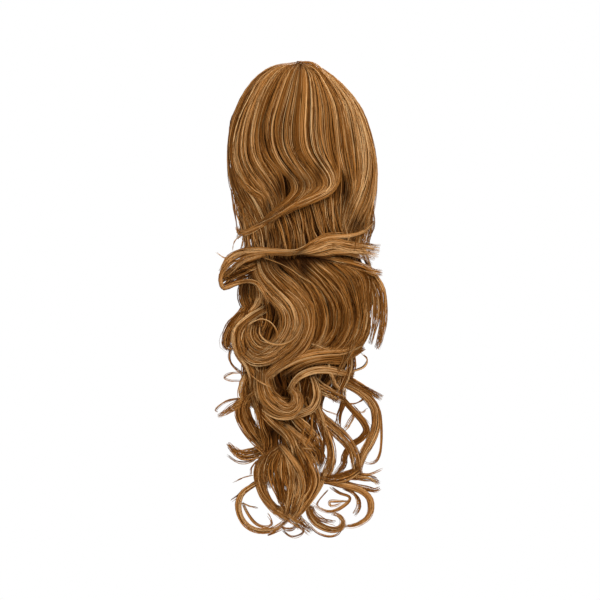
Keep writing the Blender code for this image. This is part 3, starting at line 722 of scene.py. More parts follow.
# %% Flips
FLIPS = (
    # name, strands, half width, root, fan, near and far lift, tone, centreline, ends
    ("flip_strand", 62, 1.7, 0.9, 1.7, 1.10, 1.14, 0.08,
     ((72, 160), (61, 170), (47, 174), (24, 176), (10, 182), (-6, 191), (-25, 191), (-44, 189))),
    ("crown_tuft", 50, 3.5, 0.7, 0.8, 0.5, 0.98, 0.05,
     ((-7, 2), (2, 3), (10, 5.5), (17, 11.5), (23, 24)), 0.1),
    ("left_flip", 90, 3.4, 0.55, 0.8, 1.14, 0.98, 0.12,
     ((0, 192), (-25, 190.5), (-44, 190), (-60, 191), (-71, 195), (-78, 202), (-83, 211))),
    ("left_loop", 60, 1.8, 1.4, 0.5, 1.0, 1.0, 0.1,
     ((-68, 197), (-77, 205), (-83, 216), (-80, 227), (-69, 223.5), (-58, 220.5), (-47, 222),
      (-40, 230), (-34, 243)), 0.12),
    ("left_flip_fan", 55, 4, 0.5, 1.5, 1.1, 0.95, 0.02, ((-34, 192), (-52, 195), (-66, 202), (-78, 214))),
    ("right_flip", 145, 5, 0.25, 1.2, 1.12, 1.05, 0.08,
     ((-6, 193), (4, 190), (15, 186), (29, 182), (45, 185), (61, 187), (77, 190))),
    ("right_flip_under", 55, 3, 0.4, 1.3, 1.10, 0.95, 0.06,
     ((0, 194), (20, 194), (33, 191), (47, 191), (60, 194), (72, 199))),
    ("right_flip_top", 31, 2.5, 0.5, 1.6, 1.16, 1.0, 0.1,
     ((-4, 191), (10, 181), (22, 175), (40, 175), (60, 180))),
    ("right_flip_low", 47, 3.4, 0.5, 0.8, 1.02, 0.9, 0.05,
     ((16, 197), (36, 200), (56, 205), (70, 211), (80, 212))),
    ("ridge_hook", 60, 2.2, 1.0, 0.5, 1.2, 1.02, 0.05,
     ((-20, 147), (-31, 153), (-38, 161), (-46, 166.5), (-57, 171), (-64, 171), (-66, 165))),
    ("left_hooklet", 60, 4, 0.8, 0.7, 1.03, 1.08, 0.05,
     ((-66, 110), (-58, 123), (-49, 130), (-42, 133.5), (-38, 141), (-39, 152)), 0.15),
    ("left_flip_wisp", 5, 0.8, 0.9, 0.6, 1.0, 0.8, 0.0, ((-64, 196), (-74, 198), (-81, 196), (-88, 191))),
    ("crown_wisp_left", 6, 1.6, 0.5, 0.6, 0.9, 0.9, 0.0,
     ((-72, 126), (-69, 148), (-66, 166), (-64, 172))),
    ("crown_wisp_low", 4, 0.7, 1.0, 1.0, 0.9, 0.9, 0.0, ((-60, 173), (-65, 176), (-69, 181), (-71, 190))),
    ("crown_wisp_right", 5, 1.0, 0.5, 0.8, 0.9, 0.9, 0.0, ((70, 144), (71, 160), (70, 170), (66, 178))),
)
locks("flips", CROWN, FLIPS, CROWN_PIECE)

# %% [markdown]
# ## The big wave and the S beside it
#
# Under the crown the long layer swings out to the right in one broad wave. To its left runs a
# narrower S, which stands further out and crosses over it. Both are sheets between guides.
# A few strands behind them, their tone painted dark for shade, close the layer, as the hidden rows of
# fibre do.

# %% Wave and S
WAVE_GUIDES = (
    ((-33, 196), (-20, 207), (-5, 221), (6, 238), (12, 256), (10, 273), (2, 289)),
    ((-14, 195), (-2, 210), (13, 224), (24, 242), (27, 262), (21, 279), (8, 292)),
    ((4, 194), (16, 207), (31, 221), (42, 239), (45, 259), (38, 278), (24, 294)),
    ((22, 192), (36, 204), (51, 217), (57, 238), (59, 259), (53, 279), (38, 294)),
    ((38, 192), (55, 203), (69, 217), (68, 240), (66, 260), (62, 279), (48, 294)),
)
S_GUIDES = (
    ((-54, 194), (-51, 212), (-44, 226), (-33, 240), (-24, 252), (-23, 265), (-31, 279), (-44, 290),
     (-55, 294)),
    ((-46, 194), (-42, 210), (-31, 225), (-17, 239), (-9, 252), (-8, 267), (-16, 282), (-30, 294),
     (-45, 302)),
    ((-38, 194), (-33, 209), (-19, 224), (-4, 238), (4, 252), (5, 268), (-3, 284), (-18, 298),
     (-34, 310)),
    ((-30, 194), (-23, 208), (-6, 222), (7, 238), (12, 254), (11, 271), (4, 288), (-12, 302), (-32, 314)),
)
WAVE_LIFTS = (0.95, 1.0, 1.05, 1.12, 1.12, 1.08, 0.98)
S_LIFTS = (1.0, 1.03, 1.1, 1.17, 1.19, 1.17, 1.14, 1.12, 1.05)
UNDER_LIFTS = (0.86,) * 8
UNDER_GUIDES = (
    ((-58, 196), (-52, 215), (-46, 235), (-44, 255), (-50, 275), (-54, 295), (-50, 315), (-46, 335)),
    ((-35, 196), (-30, 215), (-22, 235), (-18, 255), (-24, 275), (-28, 295), (-26, 315), (-24, 335)),
    ((-10, 196), (-4, 215), (4, 235), (8, 255), (4, 275), (-2, 295), (-4, 315), (-6, 335)),
    ((15, 196), (22, 215), (30, 235), (33, 255), (28, 275), (22, 295), (16, 315), (8, 335)),
    ((42, 196), (50, 215), (56, 235), (58, 255), (54, 275), (48, 295), (40, 315), (30, 335)),
)
wave_grid = sheet_grid(LONG, WAVE_GUIDES, WAVE_LIFTS)
s_grid = sheet_grid(LONG, S_GUIDES, S_LIFTS)
under_grid = sheet_grid(LONG, UNDER_GUIDES, UNDER_LIFTS)
# the sheet under the wave has its tone painted dark for shade
under_wave = strands(under_grid, count=240, thick=(3, 4, 4, 3), stations=16, width=110,
                     radius=BACK_RADIUS, tone=-0.2, root_shade=0.3, shadow=0.5)
wave = strands(wave_grid, count=690, thick=(4, 6, 7, 5), stations=20, width=75,
               ragged=0.12, tone=-0.03, root_shade=0.7)
s_wave = strands(s_grid, count=400, thick=(4, 5, 6, 4), stations=26, width=38,
                 ragged=0.2, tone=0.05, root_shade=0.45)
tubes("wave_strands", [wave], *LONG_PIECE)
tubes("s_strands", [s_wave, under_wave], *LONG_PIECE)

# %% [markdown]
# ## Middle locks
#
# Round the wave the long layer breaks into single locks: hooks and a loop at the left, a hoop
# at the right, a bowl with two thin rings in it, the sweep below the wave, and a curl in the
# shape of a C. What lies behind them has fewer strands, and its tone is painted dark for
# shade. The thinnest rows are wisps of a few strands, without which the outline would look
# cut from paper.

# %% Middle locks
MIDDLE = (
    # name, strands, half width, root, fan, near and far lift, tone, centreline, ends
    ("bright_thread", 4, 0.6, 1.0, 1.0, 1.2, 1.2, 0.35,
     ((-52, 195), (-40, 196), (-24, 202), (-13, 208), (-1, 217), (9, 223), (20, 234))),
    ("crevice_side", 19, 4, 0.6, 1.2, 0.95, 1.0, -0.25, ((-8, 196), (-6, 206), (3, 218), (14, 230))),
    ("loop_inner", 100, 7.5, 0.7, 0.55, 0.85, 0.7, -0.22,
     ((-44, 202), (-57, 207), (-70, 213.5), (-83, 221)), 0.12),
    ("loop_strands", 30, 3, 0.8, 0.5, 1.0, 0.9, 0.08, ((-52, 200), (-66, 205), (-76, 212), (-84, 220))),
    ("left_hook", 110, 7, 0.9, 0.3, 1.0, 0.6, -0.08,
     ((-53, 216), (-58, 226), (-58, 237), (-55, 247), (-62, 257), (-71, 266), (-76, 276), (-76, 285),
      (-68, 286)), 0.15),
    # a hidden lock, its tone painted dark for shade
    ("hook_dark", 40, 7, 0.9, 0.8, 0.86, 0.86, -0.25,
     ((-55, 220), (-56, 231), (-53, 242), (-58, 253)), 0.1),
    ("hook_side", 50, 3, 0.7, 0.7, 1.05, 0.9, 0.06,
     ((-50, 219), (-44, 226), (-43, 236), (-48, 246), (-58, 255), (-68, 264)), 0.15),
    ("hook_rim", 19, 1.6, 0.8, 0.7, 1.08, 1.0, 0.12,
     ((-66, 222), (-56, 220), (-45, 224), (-41, 234), (-45, 244), (-54, 250))),
    ("right_hoop", 62, 3.4, 0.8, 0.6, 0.7, 0.3, 0.06,
     ((56, 203), (70, 213), (79, 228), (81, 244), (81, 261), (78, 277), (74, 289))),
    ("right_hoop_inner", 44, 3.4, 0.8, 0.7, 0.6, 0.3, -0.06,
     ((56, 211), (68, 221), (73.5, 236), (74.5, 252), (72, 268), (68, 284)), 0.4),
    ("right_edge", 47, 2.8, 0.7, 0.8, 0.9, 0.8, 0.14,
     ((58, 215), (61, 232), (64, 250), (63, 268), (59, 283))),
    ("bowl_outer", 117, 5.5, 0.7, 0.8, 0.95, 1.0, 0.12,
     ((-36, 247), (-50, 255), (-63, 266), (-66, 279), (-62, 292), (-53, 303), (-48, 318), (-49, 332))),
    ("bowl_left", 31, 3, 0.7, 0.7, 0.8, 0.8, 0.06,
     ((-58, 256), (-67, 268), (-68, 282), (-62, 296), (-52, 308))),
    ("bowl_floor", 86, 6.5, 0.8, 0.8, 1.0, 1.12, 0.14,
     ((-60, 270), (-60, 286), (-50, 297), (-36, 298), (-23, 291), (-10, 281))),
    ("bowl_middle", 60, 7, 0.8, 0.8, 0.98, 1.05, 0.14,
     ((-50, 262), (-52, 274), (-45, 284), (-33, 287), (-20, 281), (-9, 270))),
    ("bowl_fill", 80, 10, 0.8, 0.9, 0.85, 0.85, -0.2,
     ((-48, 240), (-53, 256), (-54, 272), (-48, 292)), 0.1),
    ("ring", 7, 0.45, 1.0, 1.0, 1.22, 1.3, 0.3,
     ((-58, 276), (-57, 267), (-50, 261), (-41, 258.5), (-32, 262), (-26, 271), (-27, 281))),
    ("ring_inner", 7, 0.5, 1.0, 1.0, 1.3, 1.35, 0.3,
     ((-43, 262), (-43, 273), (-35, 281), (-24, 284), (-13, 281), (-4, 272), (0, 262))),
    ("sweep", 117, 4.6, 0.7, 0.9, 1.0, 1.1, 0.13,
     ((60, 282), (42, 290), (24, 291), (9, 293), (-8, 298), (-22, 305), (-35, 315), (-44, 328),
      (-48, 342))),
    ("sweep_low", 62, 4, 0.7, 0.7, 0.92, 1.05, -0.02,
     ((62, 286), (51, 293), (38, 298), (24, 298), (8, 301), (-6, 307), (-20, 316))),
    ("sweep_strands", 16, 2.4, 0.8, 0.8, 1.12, 1.1, 0.2, ((4, 281), (14, 285), (27, 290), (41, 292))),
    ("arc", 70, 3.3, 0.7, 0.7, 1.15, 1.3, 0.16,
     ((52, 314), (40, 312), (26, 309), (13, 309), (1, 313), (-9, 321), (-14, 332))),
    ("arc_dart", 16, 1.6, 0.8, 0.6, 1.16, 1.1, 0.22, ((25, 303), (28, 314), (32, 323), (38, 331))),
    ("right_tie", 10, 0.9, 1.0, 1.0, 0.9, 0.7, -0.05,
     ((41, 313), (55, 309), (62, 305), (64, 298), (58, 291))),
    ("right_dart", 60, 3.2, 0.8, 0.7, 1.0, 0.8, 0.02,
     ((30, 310), (42, 316), (54, 324), (65, 330), (80, 338)), 0.1),
    ("right_dart_strand", 4, 0.5, 1.0, 1.0, 1.0, 0.85, 0.2, ((48, 316), (61, 324), (74, 331))),
    ("right_under", 117, 8, 0.8, 0.8, 0.9, 0.85, -0.04,
     ((44, 294), (42, 308), (38, 320), (35, 331), (37, 341))),
    ("right_body_edge", 31, 3, 0.8, 0.8, 0.7, 0.7, -0.02, ((50, 290), (50, 303), (47, 316), (46, 328))),
    ("right_chunk", 86, 4.5, 0.7, 0.9, 0.95, 0.95, 0.0, ((8, 316), (17, 326), (28, 333), (42, 340))),
    ("left_wisp", 10, 1.1, 1.0, 0.6, 0.6, 0.6, -0.15, ((-72, 286), (-74, 297), (-70, 306), (-57, 317))),
    ("small_loop", 6, 0.8, 1.0, 1.0, 0.6, 0.6, -0.1,
     ((-58, 312), (-72, 313), (-79, 317), (-72, 320), (-57, 320))),
    ("left_side", 86, 6, 0.9, 0.9, 0.8, 0.8, -0.04, ((-54, 292), (-55, 306), (-54, 320), (-50, 334))),
    ("middle_under", 94, 24, 0.9, 0.9, 0.82, 0.82, -0.25, ((-8, 300), (-10, 312), (-6, 326), (-8, 340))),
    ("curl", 140, 7.2, 0.8, 0.5, 1.18, 1.28, 0.16,
     ((-41, 308), (-40, 325), (-35, 338), (-25, 347), (-14, 350), (-6, 344), (-6, 335),
      (-11, 328)), 0.15),
    ("curl_rim", 34, 1.6, 1.0, 0.8, 1.2, 1.3, 0.2,
     ((-48, 312), (-48, 327), (-45, 341), (-38, 351), (-26, 357), (-13, 357), (-4, 351), (0, 342))),
    ("curl_inner", 70, 6, 0.9, 0.6, 0.98, 1.08, 0.0, ((-37, 314), (-33, 328), (-25, 339), (-14, 342))),
    ("curl_outer", 60, 4, 0.7, 0.6, 1.05, 1.15, 0.1,
     ((9, 314), (13, 325), (14, 337), (9, 347), (-2, 353), (-14, 357))),
    ("curl_thread", 5, 0.5, 1.0, 1.0, 1.38, 1.5, 0.3,
     ((-70, 292), (-62, 303), (-55, 311), (-48, 318), (-40, 323), (-31, 326)), 0.1),
)
locks("middle_locks", LONG, MIDDLE, LONG_PIECE)

# %% [markdown]
# ## Lower locks
#
# Below the curl the hair thins out into a narrow column. It ends in spindles, where two locks
# part and meet again, and in rings, where the last turn of the curling rod is left in the
# ends. Light shows through between them, so they are laid as single locks with real gaps.

# %% Lower locks
LOWER = (
    # name, strands, half width, root, fan, near and far lift, tone, centreline, ends
    ("left_dart", 60, 4.2, 0.9, 0.4, 1.05, 0.7, 0.08,
     ((-40, 326), (-52, 335), (-64, 343), (-75, 350), (-86, 357))),
    ("left_dart_loop", 6, 0.8, 1.0, 1.0, 0.8, 0.7, -0.1,
     ((-60, 338), (-77, 341), (-88, 350), (-81, 354))),
    ("left_bulge", 90, 6.5, 0.9, 0.7, 0.9, 0.82, 0.05,
     ((-53, 312), (-58, 324), (-58, 336), (-49, 346)), 0.15),
    ("left_fall", 140, 7, 0.7, 0.8, 0.85, 0.9, 0.0,
     ((-52, 332), (-60, 344), (-60, 356), (-54, 368), (-46, 379), (-37, 389), (-29, 396)), 0.12),
    ("left_flick", 80, 5.2, 1.0, 0.3, 1.0, 0.7, 0.04,
     ((-28, 384), (-38, 389), (-48, 393.5), (-59, 395), (-69, 391), (-76, 383))),
    ("left_flick_wisp", 6, 0.9, 1.0, 1.0, 0.8, 0.7, 0.0,
     ((-77, 395), (-64, 403), (-50, 401), (-40, 390))),
    ("left_fall_under", 40, 6, 0.7, 0.8, 0.72, 0.8, -0.22,
     ((-52, 334), (-60, 345), (-59, 357), (-53, 368), (-45, 379), (-36, 390)), 0.1),
    ("column_fill", 45, 10, 0.8, 0.7, 0.82, 0.85, -0.22,
     ((-16, 366), (-10, 380), (-2, 394), (4, 408)), 0.1),
    ("lower_under", 103, 24, 0.9, 0.8, 0.78, 0.8, -0.3,
     ((-14, 325), (-19, 345), (-10, 364), (-16, 384), (-10, 402))),
    ("below_curl_left", 70, 5, 0.8, 0.8, 1.0, 1.05, 0.04,
     ((-47, 334), (-42, 348), (-31, 360), (-18, 371), (-10, 384), (-8, 396))),
    # a hidden lock, its tone painted dark for shade
    ("below_curl_dark", 70, 10, 0.8, 0.8, 0.86, 0.88, -0.25,
     ((-40, 338), (-37, 354), (-35, 368), (-32, 384), (-35, 396)), 0.1),
    ("below_curl_middle", 62, 5.5, 0.7, 0.8, 0.98, 1.0, 0.1,
     ((-12, 354), (-2, 364), (9, 376), (16, 388), (15, 400))),
    ("below_curl_bright", 28, 2.6, 0.8, 0.7, 1.08, 1.1, 0.18,
     ((-19, 363), (-8, 373), (5, 383), (12, 392))),
    ("below_curl_right", 90, 4.2, 0.8, 0.9, 0.9, 0.9, 0.06,
     ((9, 338), (15, 350), (20, 363), (25, 377), (28.5, 391), (27.5, 406), (22, 420)), 0.12),
    ("below_curl_net", 45, 6, 0.7, 0.7, 0.86, 0.88, -0.2,
     ((-2, 374), (6, 384), (14, 394), (20, 406)), 0.1),
    ("cross_arc", 8, 0.8, 1.0, 1.0, 1.1, 1.05, 0.1, ((-3, 387), (7, 389), (16, 387), (23, 381))),
    ("left_spindle", 120, 4.8, 0.6, 0.6, 1.05, 0.95, 0.1,
     ((-20, 384), (-31, 392), (-40, 401), (-44, 412), (-43, 424), (-39, 436), (-31, 447), (-22, 455),
      (-13, 461)), 0.1),
    ("lens_cross", 130, 10, 0.3, 0.9, 0.92, 0.88, 0.04,
     ((-21, 385), (-28, 398), (-32, 412), (-31, 429)), 0.12),
    ("lens_back", 100, 13, 0.3, 0.6, 0.84, 0.84, -0.22,
     ((-18, 384), (-20, 398), (-21, 412), (-19, 428), (-15, 446))),
    ("middle_fall", 80, 4, 0.6, 0.9, 1.15, 1.08, 0.16,
     ((-24, 384), (-14, 396), (-6, 408), (-1, 420), (0, 432), (-4, 444), (-10, 456)), 0.12),
    ("leaf_left", 70, 5.5, 0.5, 0.8, 1.0, 0.98, 0.12,
     ((-18, 386), (-13, 400), (-9, 414), (-9, 428), (-11, 441), (-14, 457)), 0.1),
    ("leaf_under", 90, 15, 0.5, 0.35, 0.86, 0.9, -0.22,
     ((-12, 384), (-9, 398), (-5, 412), (-4, 426), (-8, 440), (-13, 458)), 0.1),
    ("junction", 50, 4, 0.8, 0.8, 0.95, 0.95, 0.04, ((-25, 446), (-18, 455), (-9, 462), (-1, 468))),
    ("leaf_right", 110, 6, 0.6, 0.5, 0.95, 1.0, 0.1,
     ((-6, 384), (2, 396), (8, 408), (11, 421), (7, 434), (-2, 447), (-11, 459)), 0.1),
    ("right_spindle", 60, 2.6, 0.8, 0.6, 1.0, 1.04, 0.12,
     ((24, 408), (20, 419), (13, 432), (4, 445), (-5, 455), (-12, 461))),
    ("spindle_inner", 60, 4, 0.9, 0.8, 0.85, 0.88, -0.04,
     ((-26, 418), (-23, 430), (-19, 443), (-15, 456))),
    ("left_ring", 60, 2.8, 0.7, 0.6, 0.8, 0.7, 0.08,
     ((-42, 422), (-52, 427), (-61, 434), (-65, 445), (-63, 457), (-56, 467), (-44, 472), (-31, 471),
      (-20, 465), (-12, 458))),
    ("left_ring_tip", 16, 1.8, 1.0, 0.5, 0.8, 0.6, -0.1,
     ((-46, 422), (-54, 427), (-63, 434), (-73, 442))),
    ("left_ring_end", 8, 1.2, 0.7, 0.7, 0.6, 0.7, 0.1, ((-36, 477), (-29, 474), (-20, 469))),
    ("left_ring_inner", 14, 1.2, 1.0, 1.0, 0.6, 0.6, -0.1,
     ((-61, 443), (-56, 454), (-48, 464), (-39, 468), (-32, 466), (-32, 461), (-36, 454))),
    ("spur", 8, 0.9, 0.6, 0.6, 0.6, 0.6, 0.0, ((-62, 444), (-54, 447), (-45, 449))),
    ("left_wisps", 6, 1.0, 0.8, 1.0, 0.8, 0.7, 0.0, ((-50, 416), (-61, 419), (-71, 423))),
    ("lens_wisp", 5, 0.7, 0.8, 1.0, 0.8, 0.7, 0.0, ((-46, 400), (-52, 409), (-54, 417))),
    ("bottom_arc", 14, 1.5, 0.7, 0.7, 0.8, 0.8, 0.0, ((-22, 468), (-14, 471), (-6, 466))),
    ("bottom_arc_low", 7, 0.8, 1.0, 1.0, 0.8, 0.8, -0.05,
     ((-22, 470), (-14, 477), (-7, 478), (-1, 475), (0, 469), (-6, 462))),
    ("tail", 39, 4.4, 0.7, 0.8, 0.9, 0.8, 0.0, ((-10, 452), (-4, 461), (2, 468), (9, 474))),
    ("bottom_ring", 60, 3.1, 0.7, 0.4, 0.7, 0.6, 0.0,
     ((5, 436), (5, 447), (7, 456), (13, 464), (22, 469), (31, 471), (38, 469), (40, 463), (36, 457),
      (29, 454))),
    ("bottom_ring_inner", 16, 2.0, 0.8, 0.8, 0.6, 0.55, -0.05,
     ((8, 446), (13, 456), (22, 462), (33, 464))),
    ("bottom_ring_wisp", 9, 0.9, 1.0, 1.0, 0.5, 0.5, -0.05,
     ((5, 464), (14, 474), (26, 478), (35, 475), (39, 469), (40, 463))),
    ("right_ring", 70, 2.9, 0.8, 0.5, 0.7, 0.4, 0.1,
     ((18, 421), (32, 424), (46, 427), (58, 431), (67, 439), (69, 449), (66, 458), (58, 464), (49, 467),
      (40, 467))),
    ("right_ring_inner", 19, 1.4, 0.8, 0.8, 0.5, 0.4, -0.15,
     ((40, 429), (50, 433), (56, 441), (57, 449), (52, 457))),
    ("right_ring_thread", 4, 0.6, 1.0, 1.0, 0.5, 0.4, 0.1, ((46, 430), (53, 438), (54, 446), (51, 455))),
)
locks("lower_locks", LONG, LOWER, LONG_PIECE)

# %% [markdown]
# ## Locks at the lower right
#
# A bow, a fall and a cross lock leave the column at the right and meet in a knot. Flicks and
# thin threads stand off from them.

# %% Lower right locks
LOWER_RIGHT = (
    # name, strands, half width, root, fan, near and far lift, tone, centreline, ends
    ("low_arc", 18, 1.3, 1.0, 0.8, 0.6, 0.5, 0.0,
     ((27, 427), (37, 434), (46, 437), (47, 441), (41, 447), (32, 452), (23, 452), (14, 448), (7, 443))),
    ("stub", 14, 1.1, 0.8, 0.8, 0.6, 0.6, 0.08, ((47, 442), (33, 442), (27, 443), (29, 447), (41, 444))),
    ("low_thread", 5, 0.6, 1.0, 1.0, 0.6, 0.6, 0.0, ((26, 430), (17, 440), (15, 446), (21, 449))),
    ("hook_arc", 12, 1.3, 0.8, 0.8, 0.9, 0.8, 0.0, ((0, 419), (9, 422), (18, 418), (25, 412))),
    ("right_flick", 40, 2.6, 0.9, 0.8, 0.5, 0.3, 0.03,
     ((32, 416), (46, 417), (60, 418), (71, 420), (77, 425))),
    ("right_flick_low", 30, 2.2, 0.9, 0.8, 0.5, 0.3, 0.0,
     ((38, 421), (50, 426), (62, 429), (72, 431), (78, 428))),
    ("right_flick_tip", 10, 0.9, 0.8, 0.6, 0.4, 0.3, 0.0,
     ((48, 417), (58, 415), (67, 415), (74, 412), (81, 408))),
    ("right_bow", 100, 4.2, 0.7, 0.8, 0.7, 0.25, 0.1,
     ((36, 322), (47, 326), (57, 331), (66, 338), (72, 347), (74, 357), (73, 369), (68, 382), (62, 393),
      (57, 405), (55, 416))),
    ("right_bow_outer", 16, 1.2, 0.8, 1.0, 0.5, 0.25, 0.08,
     ((70, 340), (77, 350), (79, 364), (79, 384), (77, 396), (72, 403), (64, 403), (57, 398))),
    ("right_fall", 100, 5, 0.6, 0.85, 0.95, 0.6, 0.14,
     ((6, 334), (11, 345), (18, 356), (27, 365), (38, 375), (47, 385), (52, 396), (54, 408), (57, 419))),
    ("right_cross", 62, 2.7, 0.9, 0.8, 0.7, 0.5, -0.1,
     ((36, 332), (43, 342), (53, 353), (61, 362), (64, 371), (58, 379), (49, 385), (42, 396), (41, 405),
      (34, 414), (26, 420))),
    ("right_threads", 12, 2.0, 1.0, 1.0, 0.6, 0.6, 0.1, ((54, 350), (48, 361), (40, 371))),
    # a hidden lock, its tone painted dark for shade
    ("right_dark_lock", 19, 2.6, 0.9, 0.9, 0.7, 0.7, -0.25, ((41, 338), (39, 348), (36, 358), (35, 368))),
    ("knot_loop", 8, 0.9, 1.0, 1.0, 0.8, 0.7, -0.15, ((38, 341), (50, 343), (58, 340), (64, 333))),
    ("thin_arc", 3, 0.5, 1.0, 1.0, 0.6, 0.5, -0.1, ((55, 350), (60, 352), (65, 347))),
    ("thin_diagonal", 3, 0.5, 1.0, 1.0, 0.6, 0.5, -0.1, ((50, 343), (58, 353), (70, 366))),
    ("thin_cross", 3, 0.5, 1.0, 1.0, 0.8, 0.7, -0.1, ((15, 342), (23, 350), (38, 356))),
    ("hole_threads", 6, 3.0, 1.0, 1.0, 0.8, 0.8, -0.1, ((8, 342), (10, 356), (15, 370), (17, 380))),
    ("right_knot", 80, 5, 0.8, 0.8, 0.72, 0.75, -0.06,
     ((58, 409), (47, 416), (34, 420), (20, 419), (8, 412))),
)
locks("lower_right_locks", LONG, LOWER_RIGHT, LONG_PIECE)

# %% [markdown]
# ## Sides and back
#
# Round the sides and down the back the hair falls in plain waves. Guides set by hand would be
# slow to place there. Instead a strand keeps its angle round the form and swings as it falls,
# so one formula makes a whole sheet. At the top of the back a small sheet covers the seam.


# %% Wrapped sheets
WRAP_GUIDES = 24
WRAP_INSET = 0.97  # the sheets lie just inside the form's sides
WRAP_THICK = (4, 5, 4)
WRAP_WIDTH = 120
SWING_SHIFT = 0.35  # of a turn, so that neighbours don't swing as one
SWING_GROWTH = 0.2  # share of the length over which the swing grows
SWING_OUT = 0.25  # how much of the swing also goes outwards
BACKWARDS = (0, 1, 0)


def wrap(layer, angles, start, stop, count, swing, turns, stations, lift=1.0, **more):
    """x = centre + half_width cos(a) + sway, out = middle - half_depth sin(a) + a little sway.

    sway = swing * sin(2 pi (turns * s + shift * cos(2 a))), growing from nothing at the top.
    """
    a = np.radians(np.linspace(*angles, WRAP_GUIDES))[:, None]
    down = np.linspace(start, stop, FINE)[None, :]
    centre, half_width, middle, half_depth = section(layer, down)
    s = (down - start) / (stop - start)
    swung = np.sin(2 * math.pi * (turns * s + SWING_SHIFT * np.cos(2 * a)))
    sway = swing * swung * smooth(s / SWING_GROWTH)
    across = centre + half_width * WRAP_INSET * lift * np.cos(a) + sway
    out = middle - half_depth * lift * np.sin(a) + SWING_OUT * sway
    grid = place(across, np.broadcast_to(down, across.shape), out)
    return strands(grid, count, WRAP_THICK, stations, WRAP_WIDTH, facing=BACKWARDS, shadow=0,
                   shine=0, **more)


print("a wrapped sheet has", WRAP_GUIDES, "guides of", FINE, "points")

# %% Sides and back
CROWN_SIDE = dict(start=12, stop=178, count=200, swing=2, turns=1.2, stations=16, root_shade=0.1,
                  radius=0.36)
crown_left = wrap(CROWN, angles=(112, 215), lift=0.98, **CROWN_SIDE)
crown_right = wrap(CROWN, angles=(-35, 68), lift=0.95, **CROWN_SIDE)
TOP_GUIDES = (
    ((-5, 0), (-24, 5), (-36, 12), (-44, 22)), ((-4, 0), (-14, 5), (-22, 12), (-26, 22)),
    ((-2, 0), (-3, 5), (-3, 12), (-3, 22)), ((0, 0), (8, 5), (14, 12), (18, 22)),
    ((2, 0), (14, 5), (26, 12), (38, 22)),
)
TOP_LIFTS = (0.0, -0.8, -0.95, -0.95)  # below nought a strand lies on the back of the form
top_grid = sheet_grid(CROWN, TOP_GUIDES, TOP_LIFTS)
crown_top = strands(top_grid, count=120, thick=(3, 4, 4), stations=10, width=90,
                    facing=BACKWARDS, radius=0.4, root_shade=0.1, shadow=0, shine=0)
crown_hem = wrap(LONG, angles=(0, 180), start=106, stop=300, count=230, swing=7, turns=1.6,
                 stations=16, root_shade=0.3, radius=BACK_RADIUS)
long_back = wrap(LONG, angles=(-40, 220), start=175, stop=412, count=320, swing=8, turns=2.2,
                 stations=20, radius=BACK_RADIUS, ragged=0.35, root_shade=0.2, lift=0.93)
tubes("crown_side_strands", [crown_left, crown_right, crown_top], *CROWN_PIECE)
tubes("back_strands", [crown_hem, long_back], *LONG_PIECE)

# %% [markdown]
# ## Under-hair
#
# Real hair is many fibres deep, and little light comes through it. Filling it with strands
# would take several times as many. A plain body inside each layer, in browns of painted shade,
# closes the gaps instead, far enough under the strands that only that shade shows. It leaves
# the clip its room.


# %% Inner bodies
RECESS = (21, 107)  # heights between which the clip has room, down from the crown
RECESS_HALF_WIDTH = 26
RECESS_FLOOR = 42  # out from the plane of the clip's teeth
INNER_SIDES = 64
LEAST_RADIUS = 1.5  # keeps a ring open where the shrink is more than the form


def inner_body(name, layer, downs, shrink, piece):
    """x = centre + (half_width - shrink) cos(a), out = middle + (half_depth - shrink) sin(a).

    Behind the clip the back half keeps out = RECESS_FLOOR. Each side of a ring joins the ring
    below, and a flat face closes the top and the bottom.
    """
    down = np.array(downs, float)[:, None]
    shrink = np.array(shrink, float)[:, None]
    side = np.arange(INNER_SIDES)
    a = 2 * math.pi * side[None, :] / INNER_SIDES
    centre, half_width, middle, half_depth = section(layer, down)
    across = centre + np.maximum(LEAST_RADIUS, half_width - shrink) * np.cos(a)
    out = middle + np.maximum(LEAST_RADIUS, half_depth - shrink) * np.sin(a)
    room = (np.abs(across) < RECESS_HALF_WIDTH) & (down >= RECESS[0]) & (down <= RECESS[1])
    out = np.where(room & (np.sin(a) < 0), RECESS_FLOOR, out)
    points = place(across, np.broadcast_to(down, across.shape), out).reshape(-1, 3)
    ring = INNER_SIDES * np.arange(len(downs) - 1)[:, None]
    below = ring + INNER_SIDES
    after = (side + 1) % INNER_SIDES
    walls = np.stack([ring + side, ring + after, below + after, below + side], axis=-1)
    faces = walls.reshape(-1, 4).tolist() + [side[::-1].tolist(), (below[-1] + side).tolist()]
    mesh = bpy.data.meshes.new(name)
    mesh.from_pydata(points, [], faces)
    # the body's colour is painted shade
    mesh.materials.append(under_hair_shade)
    show(bpy.data.objects.new(name, mesh), *piece[1:])
    print(f"{name}: {len(downs)} rings, {len(faces)} faces")


inner_body("crown_under_hair", CROWN, (5, 12, 19, 21, 48, 72, 96, 107, 109, 120, 144, 163, 178),
           (4, 5, 5, 6, 6, 6, 6, 6, 6, 6, 7, 8, 8), CROWN_PIECE)
inner_body("long_under_hair", LONG, (108, 144, 173, 202, 240, 269, 298, 326, 355, 386),
           (7, 7, 7, 8, 8, 9, 11, 15, 14, 26), LONG_PIECE)

# %% [markdown]
# ## The claw clip
#
# The clasp is moulded plastic and is hidden in the hair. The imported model's own shape is
# good enough for what shows of it from behind, so it only gets its finish.

# %% Clip
clip_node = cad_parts["claw_clip"]
clip_node.data.materials.clear()
clip_node.data.materials.append(clip_plastic)
print("clip:", len(clip_node.data.polygons), "faces of", clip_plastic.name)

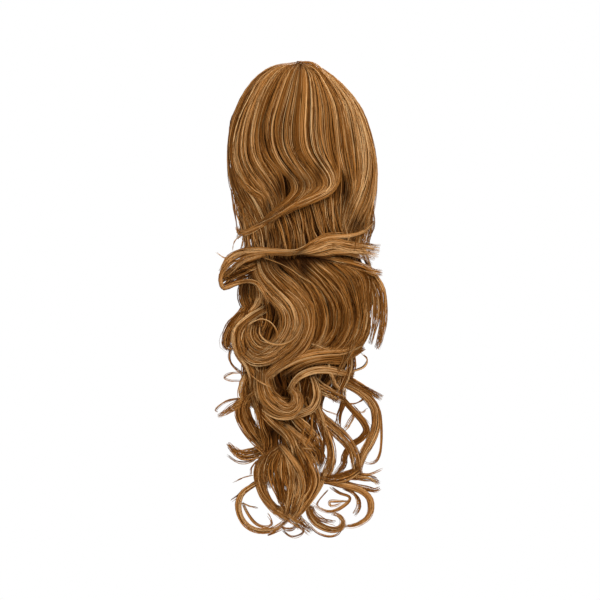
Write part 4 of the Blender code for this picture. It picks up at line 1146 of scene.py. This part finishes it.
# %% [markdown]
# ## Studio
#
# The hair is lit as for a catalogue, with white surroundings and a pale floor well below. A
# large soft lamp at the upper right gives the gloss its direction, a weaker one at the left
# opens the shade, and one behind keeps the far side readable. The background is white to the
# camera alone. To the hair it is greyer, because a wholly white room would wash the browns out.


# %% World, floor and lights
FLOOR_Z = -0.72
FLOOR_ROUGHNESS = 0.8  # rolled matt paint scatters light and mirrors nothing
AMBIENT = 0.55
AIM = Vector((0, -0.03, -0.15))  # the middle of the hair
LIGHTS = (
    # name, place, size in metres, watts
    ("key", (0.75, -1.3, 0.75), 0.7, 26),
    ("fill", (-1.1, -1.2, 0.15), 1.2, 10),
    ("back", (0.3, 1.2, 0.7), 0.8, 12),
)

world = bpy.data.worlds.new("studio")
bpy.context.scene.world = world
world.use_nodes = True
tree = world.node_tree
tree.nodes.clear()
seen = node(tree, "ShaderNodeLightPath").outputs["Is Camera Ray"]
ambient = node(tree, "ShaderNodeBackground", {0: linear("#F4F1EC"), 1: AMBIENT}).outputs[0]
white = node(tree, "ShaderNodeBackground", {0: (1, 1, 1, 1), 1: 1.0}).outputs[0]
mixed = node(tree, "ShaderNodeMixShader", {0: seen, 1: ambient, 2: white}).outputs[0]
node(tree, "ShaderNodeOutputWorld", {0: mixed})

bpy.ops.mesh.primitive_circle_add(vertices=96, radius=1.0, fill_type="NGON", location=(0, 0, FLOOR_Z))
floor = bpy.context.object
floor.name = "floor"
pale, tree, shader = shader_of("matt_white_paint")
shader.inputs["Base Color"].default_value = linear("#F2F0EC")
shader.inputs["Roughness"].default_value = FLOOR_ROUGHNESS
floor.data.materials.append(pale)


def light(name, spot, size, watts):
    """A square soft white light at a spot, aimed at the middle of the hair."""
    data = bpy.data.lights.new(name, "AREA")
    data.size = size
    data.energy = watts
    made = bpy.data.objects.new(name, data)
    made.location = spot
    made.rotation_euler = (AIM - Vector(spot)).to_track_quat("-Z", "Y").to_euler()
    bpy.context.scene.collection.objects.link(made)
    print(f"{name}: {watts} W over {size} m")


for row in LIGHTS:
    light(*row)

scene = bpy.context.scene
scene.view_settings.view_transform = "Standard"
scene.render.film_transparent = False
